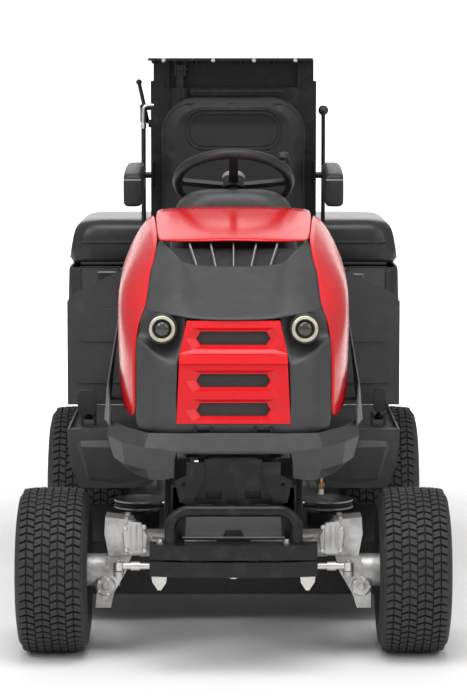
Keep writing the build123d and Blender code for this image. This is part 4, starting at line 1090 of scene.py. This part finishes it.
# ------------------------------------------------------------------ seat
def outline(half: float, low: float, high: float, corner: float, count: int = 10) -> list[Flat]:
    """A rectangle with round corners, as points from its lower left corner.

    Args:
        half: half its width.
        low: its lower edge.
        high: its upper edge.
        corner: corner radius.
        count: points in each corner.

    Returns:
        The points in order.
    """
    made = []
    for cx, cz, start in ((half - corner, low + corner, -90), (half - corner, high - corner, 0),
                          (-half + corner, high - corner, 90), (-half + corner, low + corner, 180)):
        for n in range(count):
            t = math.radians(start + 90 * n / (count - 1))
            made.append((cx + corner * math.cos(t), cz + corner * math.sin(t)))
    return made


def stuffed(name: str, loops: Sequence[Sequence[Vector]], finish: Finish, cap: float,
            shape: Optional[Callable[[Vector], Vector]] = None) -> bpy.types.Object:
    """A stuffed pad: a closed skin blown up gently by a cloth simulation.

    Args:
        name: the piece's name.
        loops: closed loops from one face to the other.
        finish: its material.
        cap: how far a point may move, in millimetres.
        shape: changes a vertex before the simulation.

    Returns:
        The finished pad.
    """
    skin = rings("skin", loops, finish)
    remesh = skin.modifiers.new("even", "REMESH")
    remesh.mode = "VOXEL"
    remesh.voxel_size = 0.006
    pad = joined(name, [skin])
    if shape:
        for vertex in pad.data.vertices:
            vertex.co = shape(vertex.co.copy())
    rest = [v.co.copy() for v in pad.data.vertices]
    cloth = pad.modifiers.new("cloth", "CLOTH")
    cloth.settings.use_pressure = True
    cloth.settings.uniform_pressure_force = 4.0
    cloth.settings.effector_weights.gravity = 0.0
    cloth.settings.quality = 5
    cloth.point_cache.frame_end = 20
    for n in range(1, 21):
        bpy.context.scene.frame_set(n)
    graph = bpy.context.evaluated_depsgraph_get()
    blown = bpy.data.meshes.new_from_object(pad.evaluated_get(graph))
    pad.modifiers.clear()
    for vertex, swollen, old in zip(pad.data.vertices, blown.vertices, rest):
        move = swollen.co - old
        if move.length > cap * MM:
            move = move.normalized() * cap * MM
        vertex.co = old + move
    bpy.data.meshes.remove(blown)
    bpy.context.scene.frame_set(1)
    for polygon in pad.data.polygons:
        polygon.use_smooth = True
    relax = pad.modifiers.new("relax", "SMOOTH")
    relax.iterations = 4
    refine(pad, 1)
    return pad


def on_surface(piece: bpy.types.Object, points: Sequence[Vector], towards: Vector,
               sink: float) -> list[Vector]:
    """Points moved along a direction until they lie on a piece.

    Args:
        piece: the piece to land on.
        points: starting places.
        towards: direction of travel.
        sink: how deep they go below the surface, in millimetres.

    Returns:
        The places on the surface.
    """
    landed = []
    for point in points:
        hit, place, _, _ = piece.ray_cast(point, towards)
        if hit:
            landed.append(place + towards * sink * MM)
    return landed


def loop_tube(name: str, line: Sequence[Vector], radius: float, finish: Finish) -> bpy.types.Object:
    """A thin closed tube through places in metres."""
    points = [((p.x / MM), (p.y - AXLE_Y) / MM, p.z / MM) for p in line]
    return swept(name, points, radius, finish, 8, 1, closed=True)


@dataclass
class Seat(SubAssembly):
    """Vinyl cushion and high back with piped panels, between two fold-up arm rests."""

    body: str = "seat"
    half: float = 228.0
    back_low: float = 742.0
    back_high: float = 1356.0
    back_front: float = 1347.0
    back_rear: float = 1421.0
    cushion_front: float = 972.0
    cushion_rear: float = 1330.0
    cushion_low: float = 737.0
    cushion_high: float = 822.0
    arm_x: float = 285.5

    def build(self) -> None:
        """Build the pads, their piping and the arm rests."""
        self.back()
        self.cushion()
        for side, s in (("left", 1), ("right", -1)):
            self.arm(side, s)
        self.dress(Finish.BLACK_STEEL, "seat_frame")

    def back(self) -> None:
        """Back rest: bolsters either side of a flat centre with two lines of piping."""
        middle = (self.back_low + self.back_high) / 2
        base = outline(self.half, self.back_low, self.back_high, 100, 9)
        loops = []
        for d, scale in ((self.back_rear, 0.9), (self.back_rear - 8, 0.97), (1395, 1.0), (1365, 1.0),
                         (self.back_front + 6, 0.95), (self.back_front, 0.84), (self.back_front, 0.5)):
            loops.append([at(x * scale * (1 - 0.0002 * max(0.0, middle - z) - 0.0004 * max(0.0, z - 1150)), d,
                             middle + (z - middle) * (1 - (1 - scale) * 0.6)) for x, z in base])

        def bolster(p: Vector) -> Vector:
            """Bring the sides forward and set the centre back."""
            if p.y < at(0, 1385, 0).y:
                side = min(1.0, max(0.0, (abs(p.x) - 0.125) / 0.05))
                p.y += (0.016 - 0.014 * side) * (1 if p.z < 1.27 else max(0.0, 1 - (p.z - 1.27) / 0.06))
            return p

        pad = stuffed("back_rest", loops, Finish.VINYL, 10.0, bolster)
        self.fit(pad, "seat_vinyl", "seat_back")
        bpy.context.view_layer.update()
        for n, (half, low, high, corner) in enumerate(((140, 1196, 1312, 52), (129, 1207, 1301, 44),
                                                       (206, 764, 1330, 88))):
            line = on_surface(pad, [at(x, 1200, z) for x, z in outline(half, low, high, corner, 12)],
                              Vector((0, 1, 0)), 0.6)
            self.fit(loop_tube(f"back_piping_{n}", line, 2.6, Finish.VINYL), "seat_vinyl")

    def cushion(self) -> None:
        """Seat cushion, deeper at its sides, with one line of piping."""
        middle = (self.cushion_front + self.cushion_rear) / 2
        base = outline(self.half - 6, self.cushion_front, self.cushion_rear, 70, 9)
        loops = []
        for z, scale in ((self.cushion_low, 0.93), (self.cushion_low + 10, 1.0),
                         (self.cushion_high - 34, 1.0),
                         (self.cushion_high - 12, 0.96), (self.cushion_high - 4, 0.86),
                         (self.cushion_high - 4, 0.5)):
            loops.append([at(x * scale, middle + (d - middle) * scale, z) for x, d in base])

        def dish(p: Vector) -> Vector:
            """Lower the centre of the seat."""
            if p.z > 0.79:
                p.z -= 0.014 * max(0.0, 1 - (abs(p.x) / 0.15) ** 2)
            return p

        pad = stuffed("seat_pad", loops, Finish.VINYL, 9.0, dish)
        self.fit(pad, "seat_vinyl", "seat_cushion")
        bpy.context.view_layer.update()
        line = on_surface(pad, [at(x, d, 900) for x,
                                d in outline(150, self.cushion_front + 50, self.cushion_rear - 40, 60, 12)],
                          Vector((0, 0, -1)), 0.6)
        self.fit(loop_tube("seat_piping", line, 2.6, Finish.VINYL), "seat_vinyl")

    def arm(self, side: str, s: int) -> None:
        """Box-like arm rest pad, with a light grey tube along its top edges as a painted highlight."""
        body = f"arm_{side}"
        loops = []
        for d, scale, z_mid in ((1067, 0.82, 1088), (1072, 0.96, 1089), (1120, 1.0, 1094), (1250, 1.0, 1106),
                                (1390, 0.96, 1114), (1404, 0.8, 1114)):
            loops.append([at(s * self.arm_x + x * scale, d, z_mid + z * scale)
                          for x, z in outline(27.5, -50 if d < 1200 else -38, 48, 14, 5)])
        pad = rings(f"arm_pad_{side}", loops, Finish.BLACK_PLASTIC)
        refine(pad, 2)
        self.fit(pad, "black_plastic", f"arm_rest_{side}", body=body)
        # painted highlight: a light grey tube where the pad's rounded top edge faces the light
        painted_highlight_lip = swept(f"arm_lip_{side}", [(s * self.arm_x + x, 1069 + abs(x) * 0.03, 1118) for x in (-24, -10,
                                                                                                   10, 24)],
                    2.2, Finish.GREY_LIGHT, 8, 2)
        self.fit(painted_highlight_lip, "light_grey_trim", body=body)


# ------------------------------------------------------------------ operator's place
@dataclass
class Dash(SubAssembly):
    """Domed console under the steering wheel."""

    low: float = 446.0
    front: float = 568.0
    rear: float = 743.0
    levels: tuple[Flat, ...] = ((446, 152), (640, 166), (900, 171), (1010, 169), (1050, 162), (1078, 148),
                                (1098, 126),
                                (1108, 96), (1111, 60))

    def build(self) -> None:
        """Build the dome and its display, and dress the wheel."""
        middle = (self.front + self.rear) / 2
        deep = (self.rear - self.front) / 2
        loops = []
        for z, half in self.levels:
            pull = deep * min(1.0, 0.35 + half / 230)
            loops.append([at(x, middle + (d - middle) * pull / deep, z)
                          for x, d in outline(half, self.front, self.rear, min(half * 0.6, 70), 7)])
        dome = refine(rings("dome", loops, Finish.GREY), 1)
        display = slab("display", [(-42, 583, 1072), (42, 583, 1072), (38, 588, 1087), (-38, 588, 1087)],
                       (0, -4, 1),
                       Finish.GREY_LIGHT, 1.5)
        self.fit(joined("dash_dome", [dome, display]), "grey_panel", "dash_console")
        self.dress(Finish.BLACK_PLASTIC, "steering_wheel")
        self.trim()

    def trim(self) -> None:
        """Light hub cap and dark spinner knob on the wheel."""
        tilt = math.radians(31)
        axis = (0, math.sin(tilt), math.cos(tilt))
        cap = turned("cap", [(4, 0.2), (4, 31), (14, 31), (20, 26), (23, 14), (24, 0.2)], (0, 740, 1129),
                     axis,
                     Finish.GREY_LIGHT, 48, 1.5)
        turn = math.radians(-28)
        across, up = 151 * math.cos(turn), 151 * math.sin(turn)
        seat = (across, 740 + up * math.cos(tilt), 1129 - up * math.sin(tilt))
        knob = turned("knob", [(11, 0.2), (11, 7), (22, 7), (24, 17), (38, 19), (43, 15), (45, 0.2)], seat,
                      axis,
                      Finish.BLACK_PLASTIC, 36, 1.5)
        self.fit(joined("wheel_trim", [cap, knob]), "light_grey_trim", "steering_trim", body="steering")


@dataclass
class FootRests(SubAssembly):
    """Moulded fronts of the foot rests over their plates, and the pedals."""

    def build(self) -> None:
        """Build both fronts and dress the plates."""
        rows = [[(192, 304, 514), (300, 302, 514), (394, 304, 514), (419, 316, 514), (424, 340, 514)],
                [(192, 280, 508), (300, 278, 509), (394, 280, 510), (421, 298, 510), (425, 340, 510)],
                [(194, 256, 470), (300, 254, 470), (388, 256, 472), (416, 276, 474), (425, 336, 474)],
                [(198, 262, 400), (300, 261, 388), (370, 263, 390), (396, 282, 396), (408, 330, 402)],
                [(214, 268, 370), (300, 268, 366), (354, 270, 368), (376, 286, 372), (390, 326, 376)]]
        front = patch("foot_front", [rows], Finish.GREY, 3.0, 0)
        for polygon in front.data.polygons:
            polygon.use_smooth = False
        self.fit(soften(front, 5.0, 4, 6.0), "grey_panel")
        self.dress(Finish.GREY, "foot_rests")
        self.dress(Finish.BLACK_PLASTIC, "pedal_right", "pedal_left")
        self.pads("pedal_right", "drive_pedal")
        self.pads("pedal_left", "brake_pedal")

    def pads(self, node: str, body: str) -> None:
        """Rubber ribs on a pedal's plate.

        Args:
            node: the pedal's CAD node.
            body: the body it rides on.
        """
        low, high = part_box(node)
        x0, x1 = low[0] / MM, high[0] / MM
        y0, z1 = (low[1] - AXLE_Y) / MM, high[2] / MM
        ribs = [slab("rib", [(x0 + 6, y0 + 4 + n * 11, z1 - 3 - n * 3.4),
                             (x1 - 6, y0 + 4 + n * 11, z1 - 3 - n * 3.4),
                             (x1 - 6, y0 + 9 + n * 11, z1 - 4.6 - n * 3.4),
                             (x0 + 6, y0 + 9 + n * 11, z1 - 4.6 - n * 3.4)],
                     (0, 0, 2), Finish.TYRE, 0.6) for n in range(4)]
        self.fit(joined(f"{body}_ribs", ribs), "belt_rubber", body=body)


@dataclass
class RearBody(SubAssembly):
    """Wings beside the seat with raised panels."""

    def build(self) -> None:
        """Add the wings' panels and dress the moulding."""
        panels = []
        for z0, z1, inset in ((560, 660, 0), (676, 770, 16)):
            panels.append(slab("panel", [(272, 898, z0), (432 - inset, 898, z0), (440 - inset, 898, z0 + 12),
                                         (436 - inset * 2, 898, z1), (284, 898, z1), (272, 898, z1 - 12)],
                               (0, -1.5, 0),
                               Finish.GREY, 1.2, both=True))
        self.fit(joined("wing_panels", panels), "grey_panel")
        self.dress(Finish.GREY, "rear_body")
        self.dress(Finish.BLACK_PLASTIC, "wing_fittings")


# ------------------------------------------------------------------ lift and catcher
@dataclass
class Lift(SubAssembly):
    """Mast, sliding carriage, hydraulic cylinder, hose and lever."""

    bolt_x: tuple[float, ...] = (-206, -60, 60, 182)

    def build(self) -> None:
        """Add zinc bolts and dress the steelwork."""
        heads = [turned("head", [(0, 0.2), (0, 6.5), (-5, 6.5), (-6, 5), (-6, 0.2)], (x, 1431, 1455),
                        (0, 1, 0),
                        Finish.ZINC, 6, 0.5) for x in self.bolt_x]
        self.fit(joined("carriage_bolts", heads), "zinc_plate", body="carriage")
        ridge = slab("mast_ridge", [(-150, 1490, 1350), (132, 1490, 1350), (158, 1490, 1318),
                                    (176, 1490, 1318),
                                    (148, 1490, 1366), (-150, 1490, 1366)], (0, -3, 0), Finish.BLACK_STEEL,
                     1.2)
        self.fit(ridge, "black_paint")
        self.dress(Finish.BLACK_STEEL, "mast_frame", "lift_carriage", "dump_lever")
        self.dress(Finish.BLACK_STEEL, "lift_barrel", "lift_rod", "hose_fittings")
        elbow = swept("elbow", [(-268, 1492, 1262), (-268, 1492, 1300), (-265, 1492, 1316),
                                (-254, 1492, 1322),
                                (-236, 1492, 1322)], 6.5, Finish.BRIGHT_STEEL, 14, 5)
        nut = turned("nut", [(0, 0.2), (0, 9.5), (14, 9.5), (14, 0.2)], (-268, 1492, 1254), (0, 0, 1),
                     Finish.ZINC, 6, 0.8)
        self.fit(joined("hose_elbow", [elbow, nut]), "zinc_plate")
        self.dress(Finish.BLACK_PLASTIC, "lever_knob")
        self.dress(Finish.BELT, "hydraulic_hose")


@dataclass
class Catcher(SubAssembly):
    """Moulded grass box with a hard cover, ribs and perforated windows."""

    body: str = "catcher"
    window: tuple[float, float, float, float] = (352.0, 462.0, 745.0, 826.0)

    def build(self) -> None:
        """Build the box and its cover from the CAD's own boxes."""
        low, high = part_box("catcher_cover")
        half = high[0] / MM
        f, r = (low[1] - AXLE_Y) / MM, (high[1] - AXLE_Y) / MM
        top, split = high[2] / MM, low[2] / MM
        blow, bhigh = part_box("catcher_box")
        base = blow[2] / MM
        wide = bhigh[0] / MM
        f = (blow[1] - AXLE_Y) / MM
        cover = []
        for z, h, cut in ((split + 2, half - 2, 0), (split + 14, half - 1, 0), (930, half - 14, 3),
                          (top - 22, half - 24, 9),
                          (top - 6, half - 44, 24), (top, half - 74, 52), (top, half - 200, 160)):
            cover.append([at(x, d, z) for x, d in outline(h, f + cut, r - 2 - cut, 55, 7)])
        lid = refine(rings("lid", cover, Finish.CATCHER), 1)
        rims = [slab("rim", [(-half + 40, f - 0.5, z), (half - 40, f - 0.5, z), (half - 40, f - 0.5, z + 8),
                             (-half + 40, f - 0.5, z + 8)], (0, 4, 0), Finish.CATCHER,
                     1.5) for z in (split + 6, 900)]
        self.fit(joined("catcher_lid", [lid, *rims]), "catcher_plastic", "catcher_cover")
        box = []
        for z, h, back in ((base, 462, 66), (base + 10, 470, 60), (700, wide - 2, 12),
                           (split - 14, wide - 6, 6),
                           (split - 2, wide - 8, 6)):
            box.append([at(x, d, z) for x, d in outline(h, f, r - back, 45, 7)])
        shell = rings("shell", box, Finish.CATCHER, ends=False)
        shell = thicken(soften(shell, 3.0, 2, 20.0), 4.0)
        bottom = slab("bottom", [(x, d, base + 3) for x, d in outline(460, f + 3, r - 70, 45, 5)], (0, 0, 5),
                      Finish.CATCHER, 1.0)
        ribs = []
        for x in (-440, -330, -220, 220, 330, 440):
            ribs.append(slab("rib", [(x - 5, f - 0.5, base + 40), (x + 5, f - 0.5, base + 40),
                                     (x + 5, f - 0.5, 720), (x - 5, f - 0.5, 720)], (0, 4, 0), Finish.CATCHER,
                             1.5))
        x0, x1, z0, z1 = self.window
        screens = [slab("screen", [(x0, f - 1.2, z0), (x1, f - 1.2, z0), (x1, f - 1.2, z1),
                                   (x0, f - 1.2, z1)], (0, 2, 0),
                        Finish.SCREEN, 0.4, both=True)]
        for a, b, c, e in ((x0 - 6, x1 + 6, z0 - 6, z0), (x0 - 6, x1 + 6, z1, z1 + 5), (x0 - 6, x0, z0, z1),
                           (x1, x1 + 6, z0, z1)):
            screens.append(slab("frame", [(a, f - 2.5, c), (b, f - 2.5, c), (b, f - 2.5, e), (a, f - 2.5, e)],
                                (0, 5, 0),
                                Finish.CATCHER, 1.0, both=True))
        self.fit(joined("catcher_shell", [shell, bottom, *ribs, *screens]), "catcher_plastic", "catcher_box")


# ------------------------------------------------------------------ front end and drive
@dataclass
class FrontEnd(SubAssembly):
    """Finishes of the bumper, bracket, axle and the parts seen under the nose."""

    def build(self) -> None:
        """Dress the metalwork and add the bracket's bright plate, with black slabs in its windows as painted
        shade and a zinc strip on its lip as a painted highlight, and a hose union.
        """
        face = -203.0
        plate = [slab("plate", [(-116, face, 322), (116, face, 322), (112, face, 372), (103, face, 384),
                                (-103, face, 384), (-112, face, 372)], (0, -1, 0), Finish.TRAY, 0.5),
                 # painted shade: black slabs in the plate's windows for the dark behind them
                 slab("window", [(50, face - 1.5, 400), (86, face - 1.5, 400), (80, face - 1.5, 382),
                                 (56, face - 1.5, 382)], (0, -0.6, 0), Finish.BELT, 0.2, both=True),
                 # painted highlight: a zinc strip for the bright line along the plate's lip
                 slab("painted_highlight_lip", [(-122, -224, 320.5), (122, -224, 320.5), (122, -204, 320.5),
                              (-122, -204, 320.5)],
                      (0, 0, 1.2), Finish.ZINC, 0.4),
                 slab("tab", [(-24, face - 1.5, 322), (24, face - 1.5, 322), (16, face - 1.5, 336),
                              (-16, face - 1.5, 336)], (0, -1, 0), Finish.ZINC, 0.4)]
        self.fit(joined("bracket_plate", plate), "grey_link")
        union = [turned("nut", [(0, 0.2), (0, 9), (-10, 9), (-10, 6), (-16, 6), (-16, 0.2)], (214, -40, 424),
                        (0, 0, 1),
                        Finish.BRASS, 6, 0.6),
                 turned("stem", [(0, 0.2), (0, 4.5), (26, 4), (26, 0.2)], (214, -40, 424), (0, 0, 1),
                        Finish.BRASS, 20, 0.5),
                 turned("cap", [(-14, 0.2), (-14, 6), (-27, 6.5), (-27, 0.2)], (214, -40, 424), (0, 0, 1),
                        Finish.GREY_STEEL, 20, 0.6)]
        self.fit(joined("hose_union", union), "zinc_plate")
        self.castings()
        self.dress(Finish.BLACK_STEEL, "chassis_frame", "bumper_beam", "bumper_hoop", "nose_bracket",
                   "grass_duct")
        self.dress(Finish.ZINC, "bumper_hardware")
        self.dress(Finish.CAST, "front_axle_casting", "final_case_left", "final_case_right", "rear_drives")
        self.dress(Finish.ZINC, "tie_rod")


    def castings(self) -> None:
        """Ribbed covers with bolts on the axle's heads, and a round cover on each gear case."""
        made = [slab("cover", [(214, -50, 252), (256, -50, 250), (268, -50, 268), (272, -50, 306),
                               (256, -50, 334),
                               (224, -50, 330), (210, -50, 300)], (0, -12, 0), Finish.CAST, 3.5, both=True)]
        for x in (222, 236, 250):
            made.append(slab("rib", [(x, -61, 262), (x + 4, -61, 262), (x + 4, -61, 322), (x, -61, 322)],
                             (0, -5, 0),
                             Finish.CAST, 1.2, both=True))
        for s in (-1, 1):
            for x, z in ((217, 262), (262, 262), (264, 316), (218, 320)):
                made.append(turned("bolt", [(0, 0.2), (0, 6), (-5, 6), (-6, 4.5), (-6, 0.2)], (s * x, -62, z),
                                   (0, 1, 0),
                                   Finish.ZINC, 6, 0.5))
            made.append(turned("boss", [(0, 0.2), (0, 24), (34, 21), (34, 0.2)], (s * 200, -40, 268),
                               (-s, 0, 0),
                               Finish.CAST, 32, 3.0))
        self.fit(joined("axle_covers", made), "cast_alloy", body="front_axle")
        for side, s in (("left", 1), ("right", -1)):
            x = s * 314
            plate = [turned("disc", [(6, 0.2), (6, 25), (-3, 25), (-6, 21), (-6, 9), (-9, 8), (-9, 0.2)],
                            (x, -36, 168), (0, 1, 0), Finish.CAST, 40, 1.2)]
            for k in range(5):
                t = 2 * math.pi * k / 5
                plate.append(turned("screw", [(0, 0.2), (0, 3.6), (-4, 3.6), (-4, 0.2)],
                                    (x + 20 * math.cos(t), -39, 168 + 20 * math.sin(t)), (0, 1, 0),
                                    Finish.ZINC, 6, 0.4))
            self.fit(joined(f"case_cover_{side}", plate), "cast_alloy", body=f"gear_case_{side}")


@dataclass
class Machinery(SubAssembly):
    """Finishes of the engine, its stores, the cutter deck and the belts."""

    def build(self) -> None:
        """Dress everything under the panels."""
        self.dress(Finish.CAST, "engine_block", "hydraulic_pump")
        self.dress(Finish.BLACK_PLASTIC, "engine_cowl", "battery")
        self.dress(Finish.SILENCER, "silencer")
        self.dress(Finish.TANK, "fuel_tank")
        self.dress(Finish.BELT, "traction_belt", "deck_belt")
        self.dress(Finish.DECK_STEEL, "deck_shell")
        self.dress(Finish.BLADE, "blade_left", "blade_right")


# ------------------------------------------------------------------ studio
@dataclass
class Studio:
    """Pale floor, soft lights and the camera."""

    camera_at: Point = (0.0, -7.545, 1.44)
    pitch: float = 84.01
    lens: float = 139.42
    sensor: float = 36.0
    sky_axis: Point = (0.0, -0.55, 0.83)
    sky: Flat = (0.22, 0.78)

    def build(self) -> None:
        """Add the floor, the world light, the lamps and the camera."""
        self.floor()
        self.lights()
        self.camera()

    def floor(self) -> None:
        """A wide plane that curves up far behind the mower."""
        mesh = bmesh.new()
        profile = [(-14.0, 0.0, 14.0), (2.5, 0.0, 14.0), (6.0, 0.0, 4.0), (8.0, 0.25, 3.2), (9.5, 1.2, 3.2),
                   (10.2, 3.0, 3.2), (10.4, 9.0, 3.2)]
        rows = [[mesh.verts.new((x * half, y, z)) for x in (-1.0, -0.4, 0.0, 0.4, 1.0)] for y, z,
                half in profile]
        for a, b in zip(rows, rows[1:]):
            for n in range(4):
                mesh.faces.new((a[n], a[n + 1], b[n + 1], b[n]))
        s = Shop("studio_floor")
        s.surface(Base_Color=s.blend(s.noise(1.5, 2.0), (0.9, 0.9, 0.9, 1.0), (0.94, 0.94, 0.94, 1.0)),
                  Roughness=0.7 + s.noise(6.0) * 0.1)
        data = bpy.data.meshes.new("floor")
        mesh.to_mesh(data)
        mesh.free()
        data.materials.append(s.material)
        floor = bpy.data.objects.new("floor", data)
        bpy.context.collection.objects.link(floor)
        refine(floor, 2)

    def lights(self) -> None:
        """A bright even world and four large soft lamps."""
        world = bpy.data.worlds.new("studio")
        bpy.context.scene.world = world
        world.use_nodes = True
        tree = world.node_tree
        toward = tree.nodes.new("ShaderNodeVectorMath")
        toward.operation = "DOT_PRODUCT"
        toward.inputs[1].default_value = self.sky_axis
        fade = tree.nodes.new("ShaderNodeMapRange")
        for key, value in (("From Min", -0.3), ("From Max", 0.9), ("To Min", self.sky[0]),
                           ("To Max", self.sky[1])):
            fade.inputs[key].default_value = value
        place = tree.nodes.new("ShaderNodeTexCoord")
        tree.links.new(place.outputs["Generated"], toward.inputs[0])
        tree.links.new(toward.outputs["Value"], fade.inputs["Value"])
        tree.links.new(fade.outputs["Result"], tree.nodes["Background"].inputs["Strength"])
        tree.nodes["Background"].inputs["Color"].default_value = (1.0, 1.0, 1.0, 1.0)
        for name, place, aim, size, power in (("key", (-3.2, -4.5, 4.6), (0.0, -0.6, 0.6), 2.6, 95.0),
                                              ("fill", (3.8, -4.0, 3.0), (0.0, -0.5, 0.6), 3.0, 45.0),
                                              ("top", (0.0, -2.0, 4.6), (0.0, -1.0, 0.5), 2.2, 85.0),
                                              ("backdrop", (0.0, 4.0, 5.0), (0.0, 9.0, 1.5), 5.0, 460.0)):
            lamp = bpy.data.lights.new(name, "AREA")
            lamp.size = size
            lamp.energy = power
            holder = bpy.data.objects.new(name, lamp)
            holder.location = place
            holder.rotation_euler = (Vector(aim) - Vector(place)).to_track_quat("-Z", "Y").to_euler()
            bpy.context.collection.objects.link(holder)

    def camera(self) -> None:
        """The camera in front of the mower, a little above it and pitched down."""
        data = bpy.data.cameras.new("camera")
        data.lens = self.lens
        data.sensor_width = self.sensor
        data.sensor_fit = "AUTO"
        holder = bpy.data.objects.new("camera", data)
        holder.location = self.camera_at
        holder.rotation_euler = (math.radians(self.pitch), 0.0, 0.0)
        bpy.context.collection.objects.link(holder)
        bpy.context.scene.camera = holder


def main() -> None:
    """Build every sub-assembly in order."""
    logging.basicConfig(level=logging.INFO, format="%(message)s")
    bpy.context.scene.view_settings.view_transform = "Standard"
    Studio().build()
    for part in (Hood, Wheels, Skirt, Seat, Dash, FootRests, RearBody, Lift, Catcher, FrontEnd, Machinery):
        part().build()


if __name__ == "__main__":
    main()
